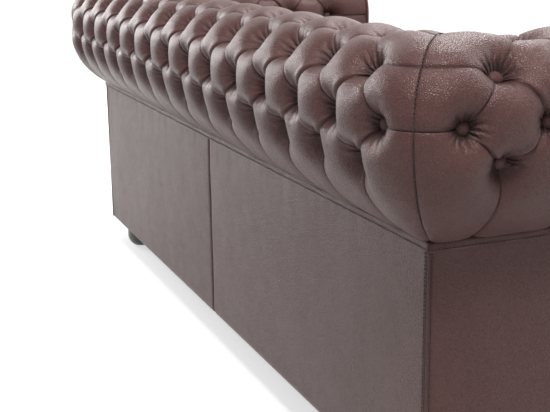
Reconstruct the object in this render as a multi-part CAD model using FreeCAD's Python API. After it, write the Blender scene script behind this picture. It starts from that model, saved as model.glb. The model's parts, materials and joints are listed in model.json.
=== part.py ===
import FreeCAD, Part
import os
from math import asin, ceil, cos, pi, sin

V = FreeCAD.Vector

# A three-seat chesterfield sofa that fronts towards -Y, with its left side at -X.
# The origin is on the floor, under the middle of the sofa's outline. Sizes are millimetres.

# Driving dimensions: the outside
body_width = 1800.0
body_depth = 753.0
roll_overhang = 95.0
roll_radius = 108.0
roll_centre_height = 630.0
underside_drop = 161.0
underside_radius = 184.0
facing_thickness = 8.0
facing_piping = 4.0
foot_height = 72.0
glide_thickness = 3.0
seat_height = 445.0

# Driving dimensions: covers and padding
panel_thickness = 4.0
wadding_thickness = 40.0
foam_thickness = 20.0
foam_board_gap = 5.0
band_height = 15.0
band_thickness = 4.0
dust_cover_thickness = 1.0
webbing_thickness = 2.0
webbing_width = 60.0
seat_strap_count = 9
cross_strap_count = 4
strap_setback = 20.0
strap_end = 20.0
front_strap_gap = 5.0
low_strap_gap = 10.0
deck_cloth_thickness = 2.0
deck_foam_thickness = 34.0
deck_clearance = 3.0
border_thickness = 20.0
piping_width = 8.0

# Driving dimensions: tufting
back_columns = 14
button_depth = 28.0
pleat_depth = 8.0
seam_depth = 6.0
button_radius = 10.5
button_height = 7.0
row_below_outermost = 60.0
inside_row_pitch = 80.0
seam_margin = 45.0
rim_pleat_depth = 3.0
rim_puff_depth = 1.0
ridge_depth = 1.5
end_puff_depth = 3.0
button_top_share = 0.6

# Driving dimensions: wood
rail_thickness = 35.0
rail_height = 186.0
post_width = 45.0
post_top_narrowing = 13.5
post_slope_height = 60.0
middle_post_forward = 30.0
rear_arm_post_setback = 90.0
board_width = 60.0
board_height = 100.0
front_board_thickness = 18.0
tacking_rail_height = 30.0
tacking_rail_thickness = 20.0
cross_member_drop = 60.0
block_size = 70.0

# Driving dimensions: feet
foot_radius = 40.0
foot_neck_radius = 30.0
foot_neck_height = 10.0
foot_base_radius = 24.8
foot_belly_share = 0.45
foot_low_bend = 0.92
foot_high_bend = 0.93
foot_inset_x = 70.0
foot_inset_y = 65.0
bolt_radius = 4.0
bolt_length = 60.0
glide_radius = 14.0

# Driving dimensions: cushions
cushion_count = 3
cushion_clearance = 4.0
cushion_front_setback = 8.0
cushion_crown = 16.0
cushion_drawn_in = 5.0
cushion_bulge = 4.0
cushion_edge_rise = 7.2
zip_share = 0.8
cover_wall = 12.0
zip_height = 8.0
zip_thickness = 1.5
rest_gap = 0.3

# Planes and heights worked out from the sizes above
half_width = body_width / 2
overall_depth = body_depth + roll_overhang + facing_thickness + facing_piping
back_plane = overall_depth / 2 - roll_overhang
facing_front = -overall_depth / 2
facing_face = facing_front + facing_piping
cover_front = facing_face + facing_thickness
centre_inset = roll_radius - roll_overhang
inside_offset = centre_inset + roll_radius
dust_cover_bottom = foot_height + glide_thickness
frame_bottom = dust_cover_bottom + dust_cover_thickness
rail_top = frame_bottom + rail_height
deck_foam_bottom = rail_top + 2 * webbing_thickness
deck_cloth_bottom = deck_foam_bottom + deck_foam_thickness
deck_top = deck_cloth_bottom + deck_cloth_thickness
tuck_height = rail_top + 3 * webbing_thickness
inside_half = half_width - inside_offset
rail_front = cover_front + front_board_thickness
panel_inside = half_width - panel_thickness
back_panel_inside = back_plane - panel_thickness
band_top = roll_centre_height - underside_drop
panel_top = band_top - band_height
board_bottom = roll_centre_height - board_height / 2
core_offset = inside_offset - wadding_thickness
post_inner = core_offset - foam_thickness - webbing_thickness
post_outer_top = post_inner - (post_width - post_top_narrowing)

# The section of the back and of the arms, walked from the roll's underside over the crest and down inside
underside_angle = asin(underside_drop / underside_radius)
underside_centre = roll_overhang - underside_radius
underside_length = underside_radius * underside_angle
roll_length = roll_radius * pi
inside_length = roll_centre_height - tuck_height
section_length = underside_length + roll_length + inside_length


def section(v):
    """Distance outside the panel's plane, height and outward direction at v along the section."""
    if v <= underside_length:
        angle = v / underside_radius - underside_angle
        out, up = cos(angle), sin(angle)
        return (underside_centre + underside_radius * out,
                roll_centre_height + underside_radius * up, out, up)
    v -= underside_length
    if v <= roll_length:
        angle = v / roll_radius
        out, up = cos(angle), sin(angle)
        return (-centre_inset + roll_radius * out, roll_centre_height + roll_radius * up, out, up)
    v -= roll_length
    return (-inside_offset, roll_centre_height - v, -1.0, 0.0)


# The tufting's columns and rows
pitch = body_width / back_columns
corner_u = half_width - centre_inset
corner_y = back_plane - centre_inset
on_mitre = 10.0 * body_width

# Each row is its place along the section and whether it is set half a column to the side
row_list = [(underside_length - row_below_outermost, True)]
for eighth in range(5):
    row_list.append((underside_length + eighth * roll_length / 4, eighth % 2 == 1))
row_list.append((underside_length + roll_length + inside_row_pitch, True))
row_list.append((underside_length + roll_length + 2 * inside_row_pitch, False))


def mitre_at(v, height=0.0):
    """How far along the back the mitre seam lies at v, measured on the cover."""
    out, z, out_dir, up_dir = section(v)
    r = out + centre_inset
    if r > 0:
        return corner_u + r * pi / 4
    return corner_u + r + height * out_dir


def last_columns():
    """Last column of each row: half a column on where the seam leaves room, else half a column back."""
    room = [(mitre_at(v) - seam_margin) / pitch for v, staggered in row_list]
    columns = [int(room[0] - 0.5) + 0.5]
    for r in range(1, len(row_list)):
        step = 0.5 if columns[-1] + 0.5 <= room[r] else -0.5
        columns.append(columns[-1] + step)
    return columns


last_column = last_columns()


def corner_place(u, v, height):
    """Place on the right half of the back; past the corner's axis the roll turns round it to the mitre."""
    out, z, out_dir, up_dir = section(v)
    r = out + centre_inset
    r_placed = r + height * out_dir
    z_placed = z + height * up_dir
    if u >= on_mitre:
        reach = r_placed * (cos(pi / 4) if r_placed > 0 else 1.0)
        return V(corner_u + reach, corner_y + reach, z_placed)
    if r > 1e-6 and u > corner_u:
        turn = (u - corner_u) / r
        return V(corner_u + r_placed * sin(turn), corner_y + r_placed * cos(turn), z_placed)
    return V(u, corner_y + r_placed, z_placed)


def place_back(u, v, height):
    """Place on the back."""
    p = corner_place(abs(u), v, height)
    return V(p.x if u >= 0 else -p.x, p.y, p.z)


def place_arm(side):
    """Placing function of one arm; side is -1 for the left and 1 for the right."""
    def place(u, v, height):
        p = corner_place(u, v, height)
        return V(side * (p.y - back_plane + half_width), p.x - half_width + back_plane, p.z)
    return place


# The mid heights of the patches' edges, by kind
edge_height = {"pleat": -pleat_depth, "ridge": -ridge_depth, "seam": -seam_depth, "rim": -rim_puff_depth}


def poles_of(points):
    """Poles of the quadratic curve or patch row that passes through three points."""
    first, middle, last = points
    return [first, middle * 2 - (first + last) * 0.5, last]


def patch(rows):
    """Face with the given rows of poles."""
    surface = Part.BezierSurface()
    surface.increase(len(rows) - 1, len(rows[0]) - 1)
    for i, row in enumerate(rows):
        for j, pole in enumerate(row):
            surface.setPole(i + 1, j + 1, pole)
    return surface.toShape()


def mean_u(corners, height):
    """Mean place along the cover of some corners, where a corner on the mitre counts where it lies."""
    total = 0.0
    for u, v, corner_height in corners:
        if abs(u) >= on_mitre:
            u = mitre_at(v, height) * (1 if u > 0 else -1)
        total += u
    return total / len(corners)


def quad_poles(place, corners, kinds, centre, flat):
    """Three by three poles through a quad's corners, edge middles and centre; flat is its even height."""
    def at(u, v, height):
        return place(u, v, height if flat is None else flat)

    def middle(i, j, kind):
        a, b = corners[i], corners[j]
        u = a[0] if kind == "seam" else mean_u([a, b], flat or 0.0)
        return at(u, (a[1] + b[1]) / 2, edge_height[kind])

    c = [at(*corner) for corner in corners]
    m = [middle(i, (i + 1) % 4, kinds[i]) for i in range(4)]
    u_mid = mean_u(corners, flat or 0.0)
    v_mid = sum(corner[1] for corner in corners) / 4
    rows = [[c[0], m[0], c[1]], [m[3], at(u_mid, v_mid, centre), m[1]], [c[3], m[2], c[2]]]
    columns = [poles_of([rows[0][j], rows[1][j], rows[2][j]]) for j in range(3)]
    return [poles_of([columns[0][i], columns[1][i], columns[2][i]]) for i in range(3)]


def row_columns(row, first):
    """Columns of the buttons in a row, from the back's far end or, on an arm, from its front."""
    shift = 0.5 if row_list[row][1] else 0.0
    column = -last_column[row] if first is None else first + shift
    columns = []
    while column <= last_column[row] + 1e-6:
        columns.append(column)
        column += 1.0
    return columns


def tufted_quads(first):
    """Quads of the tufted field as corners, edge kinds and centre height; first is None for the back."""
    quads = []
    top = 0.0
    tuck = section_length
    last = len(row_list) - 1
    placed = [row_columns(r, first) for r in range(last + 1)]

    def button(column, row):
        return (column * pitch, row_list[row][0], -button_depth)

    # Whole diamonds, where all four of their buttons are there
    for r in range(1, last):
        for column in placed[r][:-1]:
            middle = column + 0.5
            if middle in placed[r - 1] and middle in placed[r + 1]:
                quads.append(([button(column, r), button(middle, r + 1),
                               button(column + 1.0, r), button(middle, r - 1)],
                              ["pleat"] * 4, 0.0))

    # Flutes under the first row and below the last one, each cut at its ridge into two
    for row, apex_row, rim_v in ((0, 1, top), (last, last - 1, tuck)):
        for column in placed[row][:-1]:
            middle = column + 0.5
            rim_middle = (middle * pitch, rim_v, -rim_puff_depth)
            for side in (column, column + 1.0):
                quads.append(([button(side, row), button(middle, apex_row), rim_middle,
                               (side * pitch, rim_v, -rim_pleat_depth)],
                              ["pleat", "ridge", "rim", "pleat"], -rim_puff_depth))

    # The ends at a mitre seam
    for end in ([-1, 1] if first is None else [1]):
        def seam(v):
            return (end * on_mitre, v, -seam_depth)

        def end_button(row):
            return button(end * last_column[row], row)

        for r in range(last):
            kinds = ["pleat", "pleat", "seam", "ridge" if r == 0 else "pleat"]
            quads.append(([end_button(r), end_button(r + 1), seam(row_list[r + 1][0]),
                           seam(row_list[r][0])], kinds, -end_puff_depth))
        for row, rim_v, kind in ((0, top, "ridge"), (last, tuck, "pleat")):
            rim_end = (end * last_column[row] * pitch, rim_v, -rim_pleat_depth)
            quads.append(([end_button(row), seam(row_list[row][0]), seam(rim_v), rim_end],
                          [kind, "seam", "rim", "pleat"], -rim_puff_depth))

    # The front end of an arm
    if first is not None:
        front_u = half_width + cover_front - back_plane

        def front(row):
            depth = rim_puff_depth if row_list[row][1] else rim_pleat_depth
            return (front_u, row_list[row][0], -depth)

        for r in range(last):
            kinds = ["pleat", front_kind(r + 1), "rim", front_kind(r)]
            quads.append(([button(placed[r][0], r), button(placed[r + 1][0], r + 1), front(r + 1),
                           front(r)], kinds, -rim_puff_depth))
        for row, rim_v in ((0, top), (last, tuck)):
            rim_end = (placed[row][0] * pitch, rim_v, -rim_pleat_depth)
            quads.append(([button(placed[row][0], row), front(row),
                           (front_u, rim_v, -rim_puff_depth), rim_end],
                          [front_kind(row), "rim", "rim", "pleat"], -rim_puff_depth))
    return quads


def front_kind(row):
    """Kind of the edge from a row's first button to an arm's front: a pleat in the unstaggered rows."""
    return "ridge" if row_list[row][1] else "pleat"


def edge_key(a, b):
    """Name of an edge that is the same from both of its sides."""
    rounded = [(round(p.x, 3), round(p.y, 3), round(p.z, 3)) for p in (a, b)]
    return tuple(sorted(rounded))


def tufted_cover(place, first):
    """Solid of leather and wadding: tufted outside, smooth inside."""
    faces = []
    border = {}
    for corners, kinds, centre in tufted_quads(first):
        outer = quad_poles(place, corners, kinds, centre, None)
        inner = quad_poles(place, corners, kinds, centre, -wadding_thickness)
        faces.append(patch(outer))
        faces.append(patch(inner))
        sides = [
            ([outer[0][0], outer[0][1], outer[0][2]], [inner[0][0], inner[0][1], inner[0][2]]),
            ([outer[0][2], outer[1][2], outer[2][2]], [inner[0][2], inner[1][2], inner[2][2]]),
            ([outer[2][2], outer[2][1], outer[2][0]], [inner[2][2], inner[2][1], inner[2][0]]),
            ([outer[2][0], outer[1][0], outer[0][0]], [inner[2][0], inner[1][0], inner[0][0]]),
        ]
        for outer_side, inner_side in sides:
            key = edge_key(outer_side[0], outer_side[2])
            if key in border:
                del border[key]
            else:
                border[key] = [outer_side, inner_side]
    for outer_side, inner_side in border.values():
        faces.append(patch([outer_side, inner_side]))
    shell = Part.makeShell(faces)
    shell.sewShape()
    solid = Part.makeSolid(shell)
    if solid.Volume < 0:
        solid.reverse()
    return solid


def buttons(place, first):
    """Covered buttons at the bottoms of the tufts, each a flat-backed dome."""
    solids = []
    for row, (v, staggered) in enumerate(row_list):
        for column in row_columns(row, first):
            seat = place(column * pitch, v, -button_depth)
            outward = place(column * pitch, v, 0.0) - seat
            disc = Part.makeCylinder(button_radius, button_height / 2, seat, outward)
            dome = Part.makeCone(button_radius, button_radius * button_top_share, button_height / 2,
                                 seat + outward * (button_height / 2 / outward.Length), outward)
            solids.append(disc.fuse(dome))
    return Part.makeCompound(solids)


# Plain building helpers
def box(x0, x1, y0, y1, z0, z1):
    """Box between the given planes."""
    return Part.makeBox(x1 - x0, y1 - y0, z1 - z0, V(x0, y0, z0))


def mirrored(shape):
    """The same shape on the other side of the sofa."""
    return shape.mirror(V(0, 0, 0), V(1, 0, 0))


def point_at(v, height):
    """Section point as distance out and height."""
    out, z, out_dir, up_dir = section(v)
    return out + height * out_dir, z + height * up_dir


def arm_outline(height, bottom, y):
    """Closed outline of an arm's section at the given inset, on the right arm, at the plane y."""
    def at(v):
        out, z = point_at(v, -height)
        return V(half_width + out, y, z)

    outer_x = half_width - (panel_thickness if height else 0.0)
    start = at(0.0)
    outermost = at(underside_length)
    crest = at(underside_length + roll_length / 2)
    inner = at(underside_length + roll_length)
    edges = [
        Part.makeLine(V(outer_x, y, bottom), V(outer_x, y, start.z)),
        Part.Arc(start, at(underside_length / 2), outermost).toShape(),
        Part.Arc(outermost, at(underside_length + roll_length / 4), crest).toShape(),
        Part.Arc(crest, at(underside_length + 3 * roll_length / 4), inner).toShape(),
        Part.makeLine(inner, V(inner.x, y, bottom)),
        Part.makeLine(V(inner.x, y, bottom), V(outer_x, y, bottom)),
    ]
    if abs(start.x - outer_x) > 1e-6:
        edges.insert(1, Part.makeLine(V(outer_x, y, start.z), start))
    return Part.Wire(Part.__sortEdges__(edges))


def slab(wire, y0, y1):
    """Plate with the given outline drawn at y0, out to y1."""
    return Part.Face(wire).extrude(V(0, y1 - y0, 0))


# Covers
def make_covers():
    """Tufted covers with their buttons."""
    front_columns = (half_width + cover_front - back_plane + seam_margin) / pitch
    arm_first = float(ceil(front_columns))
    nodes = {
        "back_tufted_cover": tufted_cover(place_back, None),
        "back_buttons": buttons(place_back, None),
    }
    for name, side in (("left", -1), ("right", 1)):
        nodes[name + "_arm_tufted_cover"] = tufted_cover(place_arm(side), arm_first)
        nodes[name + "_arm_buttons"] = buttons(place_arm(side), arm_first)
    return nodes


def make_panels():
    """Plain outside panels, the band under the roll, the border and the dust cover."""
    right_back = box(0, half_width, back_panel_inside, back_plane, dust_cover_bottom, band_top)
    right_arm = box(panel_inside, half_width, cover_front, back_panel_inside, dust_cover_bottom, band_top)
    band = box(-half_width - band_thickness, half_width + band_thickness,
               back_plane, back_plane + band_thickness, panel_top, band_top)
    side_band = box(half_width, half_width + band_thickness, cover_front, back_plane, panel_top, band_top)
    border = box(-inside_half + rest_gap, inside_half - rest_gap, rail_front - border_thickness, rail_front,
                 dust_cover_bottom, deck_top)
    dust_cover = box(-panel_inside, panel_inside, rail_front, back_panel_inside,
                     dust_cover_bottom, frame_bottom)
    for x, y in foot_centres():
        dust_cover = dust_cover.cut(Part.makeCylinder(bolt_radius, dust_cover_thickness,
                                                      V(x, y, dust_cover_bottom)))
    return {
        "back_panel_right": right_back,
        "back_panel_left": mirrored(right_back),
        "arm_panel_right": right_arm,
        "arm_panel_left": mirrored(right_arm),
        "roll_band": band.fuse([side_band, mirrored(side_band)]).removeSplitter(),
        "front_border": border,
        "dust_cover": dust_cover,
    }


def make_facings():
    """Leather facings of the arm fronts, their piping and the scroll boards behind them."""
    plate = slab(arm_outline(0.0, dust_cover_bottom, facing_face), facing_face, cover_front)
    ring_face = Part.Face(arm_outline(0.0, dust_cover_bottom, facing_front))
    inner_face = ring_face.makeOffset2D(-piping_width)
    ring = ring_face.cut(inner_face).extrude(V(0, facing_piping, 0))
    board = slab(arm_outline(wadding_thickness, frame_bottom, cover_front), cover_front, rail_front)
    return {
        "arm_facing_right": plate,
        "arm_facing_left": mirrored(plate),
        "facing_piping": Part.makeCompound([ring, mirrored(ring)]),
        "arm_front_board_right": board,
        "arm_front_board_left": mirrored(board),
    }


def upright(centre, along_x):
    """Post cut to the scroll's section, standing on a rail; along_x says that it is in the back."""
    tops = [(-post_inner, board_bottom), (-post_inner, rail_top), (-panel_thickness, rail_top),
            (-panel_thickness, panel_top), (-post_outer_top, panel_top + post_slope_height),
            (-post_outer_top, board_bottom)]
    half = post_width / 2
    if along_x:
        points = [V(centre - half, back_plane + out, z) for out, z in tops]
        direction = V(post_width, 0, 0)
    else:
        points = [V(half_width + out, centre - half, z) for out, z in tops]
        direction = V(0, post_width, 0)
    return Part.Face(Part.makePolygon(points + points[:1])).extrude(direction)


def make_frame():
    """Hardwood frame."""
    inner_x = panel_inside - rail_thickness
    inner_y = back_panel_inside - rail_thickness
    rail_rear = rail_front + rail_thickness
    side_rail = box(inner_x, panel_inside, rail_rear, inner_y, frame_bottom, rail_top)
    blocks = []
    for x0 in (-inner_x, inner_x - block_size):
        for y0 in (rail_rear, inner_y - block_size):
            blocks.append(box(x0, x0 + block_size, y0, y0 + block_size, frame_bottom, rail_top))
    bolt_holes = [Part.makeCylinder(bolt_radius, bolt_length / 2 - dust_cover_thickness,
                                    V(x, y, frame_bottom)) for x, y in foot_centres()]
    blocks = [block.cut(bolt_holes) for block in blocks]
    post_x = inner_x - post_width
    posts = [upright(x, True) for x in (-post_x, -post_x / 3, post_x / 3, post_x)]
    half = post_width / 2
    tacks = []
    for i in range(3):
        x0 = -post_x + i * 2 * post_x / 3 + half
        x1 = x0 + 2 * post_x / 3 - post_width
        tacks.append(box(x0, x1, back_panel_inside - tacking_rail_thickness, back_panel_inside,
                         panel_top - tacking_rail_height, panel_top))
    board_half = board_width / 2
    back_board = box(-corner_u - board_half, corner_u + board_half, corner_y - board_half,
                     corner_y + board_half, board_bottom, board_bottom + board_height)
    arm_board = box(corner_u - board_half, corner_u + board_half, rail_front, corner_y - board_half,
                    board_bottom, board_bottom + board_height)
    arm_centres = (rail_front + half, (rail_front + inner_y) / 2 - middle_post_forward,
                   inner_y - rear_arm_post_setback)
    arm_posts = Part.makeCompound([upright(y, False) for y in arm_centres])
    arm_tacks = []
    for i in range(2):
        y0 = arm_centres[i] + half
        y1 = arm_centres[i + 1] - half
        arm_tacks.append(box(panel_inside - tacking_rail_thickness, panel_inside, y0, y1,
                             panel_top - tacking_rail_height, panel_top))
    arm_tack = Part.makeCompound(arm_tacks)
    return {
        "base_front_rail": box(-panel_inside, panel_inside, rail_front, rail_rear, frame_bottom, rail_top),
        "base_back_rail": box(-panel_inside, panel_inside, inner_y, back_panel_inside,
                              frame_bottom, rail_top),
        "side_rail_right": side_rail,
        "side_rail_left": mirrored(side_rail),
        "seat_cross_member": box(-rail_thickness / 2, rail_thickness / 2, rail_rear, inner_y,
                                 frame_bottom, rail_top - cross_member_drop),
        "corner_blocks": Part.makeCompound(blocks),
        "back_posts": Part.makeCompound(posts),
        "back_tacking_rail": Part.makeCompound(tacks),
        "back_top_board": back_board,
        "arm_top_board_right": arm_board,
        "arm_top_board_left": mirrored(arm_board),
        "arm_posts_right": arm_posts,
        "arm_posts_left": mirrored(arm_posts),
        "arm_tacking_rails": Part.makeCompound([arm_tack, mirrored(arm_tack)]),
    }


def spread(low, high, count, width):
    """Low edges of evenly spread strips."""
    step = (high - low - width) / (count - 1)
    return [low + i * step for i in range(count)]


def make_suspension():
    """Webbing of the seat, the back and the arms."""
    inner_x = panel_inside - rail_thickness
    inner_y = back_panel_inside - rail_thickness
    straps = []
    for x in spread(-inside_half, inside_half, seat_strap_count, webbing_width):
        straps.append(box(x, x + webbing_width, rail_front + front_strap_gap, inner_y + strap_end,
                          rail_top, rail_top + webbing_thickness))
    front_strap = rail_front + rail_thickness + strap_setback
    rear_strap = back_plane - inside_offset - rail_thickness
    for y in spread(front_strap, rear_strap, cross_strap_count, webbing_width):
        straps.append(box(-inner_x - strap_end, inner_x + strap_end, y, y + webbing_width,
                          rail_top + webbing_thickness, rail_top + 2 * webbing_thickness))
    z0 = deck_foam_bottom + low_strap_gap
    back_y = back_plane - post_inner
    back_straps = [box(-inner_x, inner_x, back_y - webbing_thickness, back_y, z, z + webbing_width)
                   for z in spread(z0, board_bottom, 3, webbing_width)]
    arm_x = half_width - post_inner
    arm_straps = [box(arm_x - webbing_thickness, arm_x, rail_front, back_y - webbing_thickness,
                      z, z + webbing_width) for z in spread(z0, board_bottom, 3, webbing_width)]
    arm_group = Part.makeCompound(arm_straps)
    return {
        "seat_webbing": Part.makeCompound(straps),
        "back_webbing": Part.makeCompound(back_straps),
        "arm_webbing": Part.makeCompound([arm_group, mirrored(arm_group)]),
    }


def roll_core(y0, y1):
    """Foam round the arm's top board, inside the wadding, along y."""
    centre = V(corner_u, y0, roll_centre_height)
    round_part = Part.makeCylinder(roll_radius - wadding_thickness, y1 - y0, centre, V(0, 1, 0))
    board_half = board_width / 2
    board = box(corner_u - board_half, corner_u + board_half, y0, y1, board_bottom,
                board_bottom + board_height)
    below = box(0, body_width, y0, y1, 0, board_bottom)
    return round_part.cut(board).cut(below)


def make_padding():
    """Foam under the covers, the deck's foam and its cloth."""
    inner_x = half_width - core_offset
    back_y = back_plane - core_offset
    foam_top = board_bottom - foam_board_gap
    back_slab = box(-inner_x, inner_x, back_y, back_y + foam_thickness, tuck_height, foam_top)
    board_half = board_width / 2
    back_roll = roll_core(-inside_half, inside_half)
    back_roll.rotate(V(corner_u, 0, 0), V(0, 0, 1), 90)
    back_roll.translate(V(-corner_u, corner_y, 0))
    arm_slab = box(inner_x, inner_x + foam_thickness, rail_front, back_y, tuck_height, foam_top)
    arm_roll = roll_core(rail_front, back_plane - inside_offset)
    arm_foam = Part.makeCompound([arm_slab, arm_roll])
    deck_half = inside_half - deck_clearance
    deck_rear = back_plane - inside_offset - deck_clearance
    deck = box(-deck_half, deck_half, rail_front, deck_rear, deck_foam_bottom, deck_cloth_bottom)
    cloth = box(-deck_half, deck_half, rail_front, deck_rear, deck_cloth_bottom, deck_top)
    return {
        "back_foam": Part.makeCompound([back_slab, back_roll]),
        "arm_foam_right": arm_foam,
        "arm_foam_left": mirrored(arm_foam),
        "deck_foam": deck,
        "deck_cloth": cloth,
    }


# Feet
def foot_centres():
    """Centres of the four feet."""
    x = half_width - foot_inset_x
    return [(side * x, y) for side in (-1, 1)
            for y in (cover_front + foot_inset_y, back_plane - foot_inset_y)]


def bun_foot(x, y):
    """Turned bun foot on its glide, with the bolt's hole from above."""
    z0 = glide_thickness
    z1 = dust_cover_bottom
    belly = z0 + (z1 - z0) * foot_belly_share
    low_bend = z0 + (belly - z0) * foot_belly_share
    high_bend = belly + (z1 - belly) * foot_belly_share
    neck = z1 - foot_neck_height
    edges = [
        Part.makeLine(V(0, 0, z0), V(foot_base_radius, 0, z0)),
        Part.Arc(V(foot_base_radius, 0, z0), V(foot_radius * foot_low_bend, 0, low_bend),
                 V(foot_radius, 0, belly)).toShape(),
        Part.Arc(V(foot_radius, 0, belly), V(foot_radius * foot_high_bend, 0, high_bend),
                 V(foot_neck_radius, 0, neck)).toShape(),
        Part.makeLine(V(foot_neck_radius, 0, neck), V(foot_neck_radius, 0, z1)),
        Part.makeLine(V(foot_neck_radius, 0, z1), V(0, 0, z1)),
        Part.makeLine(V(0, 0, z1), V(0, 0, z0)),
    ]
    body = Part.Face(Part.Wire(edges)).revolve(V(0, 0, 0), V(0, 0, 1), 360)
    hole = Part.makeCylinder(bolt_radius, bolt_length / 2, V(0, 0, z1 - bolt_length / 2))
    foot = body.cut(hole)
    foot.translate(V(x, y, 0))
    return foot


def make_feet():
    """Feet, their hanger bolts and floor glides."""
    names = ["foot_front_left", "foot_rear_left", "foot_front_right", "foot_rear_right"]
    nodes = {}
    bolts = []
    glides = []
    for name, (x, y) in zip(names, foot_centres()):
        nodes[name] = bun_foot(x, y)
        bolts.append(Part.makeCylinder(bolt_radius, bolt_length,
                                       V(x, y, dust_cover_bottom - bolt_length / 2)))
        glides.append(Part.makeCylinder(glide_radius, glide_thickness, V(x, y, 0)))
    nodes["hanger_bolts"] = Part.makeCompound(bolts)
    nodes["floor_glides"] = Part.makeCompound(glides)
    return nodes


# Cushions
def side_face(corners, bulge, away, drop):
    """Four-sided patch whose middle stands out by bulge, with edge middles drawn in by drop."""
    c = corners
    m = [(c[i] + c[(i + 1) % 4]) * 0.5 + drop[i] for i in range(4)]
    centre = (c[0] + c[1] + c[2] + c[3]) * 0.25 + away * bulge
    rows = [[c[0], m[0], c[1]], [m[3], centre, m[1]], [c[3], m[2], c[2]]]
    columns = [poles_of([rows[0][j], rows[1][j], rows[2][j]]) for j in range(3)]
    return patch([poles_of([columns[0][i], columns[1][i], columns[2][i]]) for i in range(3)])


def cushion(x0, x1):
    """Cover, foam core and zip of one loose seat cushion between x0 and x1."""
    y0 = rail_front - border_thickness + cushion_front_setback
    y1 = back_plane - inside_offset - cushion_clearance - zip_thickness
    z0 = deck_top + rest_gap
    z1 = seat_height
    reach = cushion_bulge
    xa, xb = x0 + reach, x1 - reach
    ya = y0 + reach
    low = [V(xa, ya, z0), V(xb, ya, z0), V(xb, y1, z0), V(xa, y1, z0)]
    high = [V(p.x, p.y, z1 - cushion_crown) for p in low]
    still = V(0, 0, 0)
    rise = V(0, 0, cushion_edge_rise)
    draw = cushion_drawn_in
    top_drops = [rise + V(0, draw, 0), rise + V(-draw, 0, 0), rise, rise + V(draw, 0, 0)]
    faces = [Part.Face(Part.makePolygon(low + low[:1])),
             side_face(high, cushion_crown, V(0, 0, 1), top_drops)]
    outward = [V(0, -1, 0), V(1, 0, 0), V(0, 1, 0), V(-1, 0, 0)]
    bulges = [cushion_bulge, cushion_bulge, 0.0, cushion_bulge]
    for i in range(4):
        j = (i + 1) % 4
        faces.append(side_face([low[i], low[j], high[j], high[i]], bulges[i], outward[i],
                               [still, still, top_drops[i], still]))
    shell = Part.makeShell(faces)
    shell.sewShape()
    outer = Part.makeSolid(shell)
    if outer.Volume < 0:
        outer.reverse()
    wall = cover_wall
    core = box(xa + wall, xb - wall, ya + wall, y1 - wall, z0 + wall, z1 - cushion_crown - wall)
    middle = (x0 + x1) / 2
    zip_half = (xb - xa) * zip_share / 2
    zip_z = (z0 + z1 - cushion_crown) / 2
    zip_strip = box(middle - zip_half, middle + zip_half, y1, y1 + zip_thickness,
                    zip_z - zip_height / 2, zip_z + zip_height / 2)
    return outer.cut(core), core, zip_strip


def make_cushions():
    """The loose seat cushions."""
    width = (2 * inside_half - 2 * cushion_clearance) / cushion_count
    names = ["left", "middle", "right"] if cushion_count == 3 else \
        ["seat_%d" % (i + 1) for i in range(cushion_count)]
    nodes = {}
    for i, name in enumerate(names):
        x0 = -inside_half + cushion_clearance + i * width + rest_gap
        cover, core, zip_strip = cushion(x0, x0 + width - 2 * rest_gap)
        nodes["cushion_cover_" + name] = cover
        nodes["cushion_core_" + name] = core
        nodes["cushion_zip_" + name] = zip_strip
    return nodes


def main():
    """Build every piece and write it to its own file."""
    os.makedirs("parts", exist_ok=True)
    nodes = {}
    for maker in (make_frame, make_suspension, make_padding, make_covers, make_panels, make_facings,
                  make_feet, make_cushions):
        nodes.update(maker())
    for name, shape in nodes.items():
        shape.exportStep("parts/" + name + ".step")
        print(name, len(shape.Solids), "solids", round(shape.Volume / 1000.0, 1), "cm3",
              "valid" if shape.isValid() else "NOT VALID")


main()
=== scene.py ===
import json
from math import asin, ceil, cos, pi, radians, sin

import bmesh
import bpy
import numpy as np
from mathutils import Matrix, Vector, noise


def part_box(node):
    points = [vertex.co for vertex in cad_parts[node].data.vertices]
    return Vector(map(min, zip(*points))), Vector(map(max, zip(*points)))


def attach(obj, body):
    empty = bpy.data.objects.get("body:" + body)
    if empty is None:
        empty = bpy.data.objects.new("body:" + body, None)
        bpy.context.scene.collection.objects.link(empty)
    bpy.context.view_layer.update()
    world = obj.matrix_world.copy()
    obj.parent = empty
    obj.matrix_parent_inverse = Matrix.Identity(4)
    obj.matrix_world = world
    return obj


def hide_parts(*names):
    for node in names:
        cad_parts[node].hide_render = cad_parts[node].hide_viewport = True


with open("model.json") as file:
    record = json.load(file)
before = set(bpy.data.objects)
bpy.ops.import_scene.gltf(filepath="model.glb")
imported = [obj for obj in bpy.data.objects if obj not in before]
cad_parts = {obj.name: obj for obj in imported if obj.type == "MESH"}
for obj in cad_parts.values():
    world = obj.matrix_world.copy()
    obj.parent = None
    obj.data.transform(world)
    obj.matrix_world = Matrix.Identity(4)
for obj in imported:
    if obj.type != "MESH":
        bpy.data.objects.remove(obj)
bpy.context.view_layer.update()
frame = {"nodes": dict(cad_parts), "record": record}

bl_info = {
    "name": "Chesterfield sofa",
    "version": (1, 0, 0),
    "blender": (4, 5, 0),
    "location": "3D View > Sidebar > Sofa",
    "description": "Builds the leather, buttons, seams, cushions and stage of a chesterfield sofa",
    "category": "Object",
}

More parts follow.
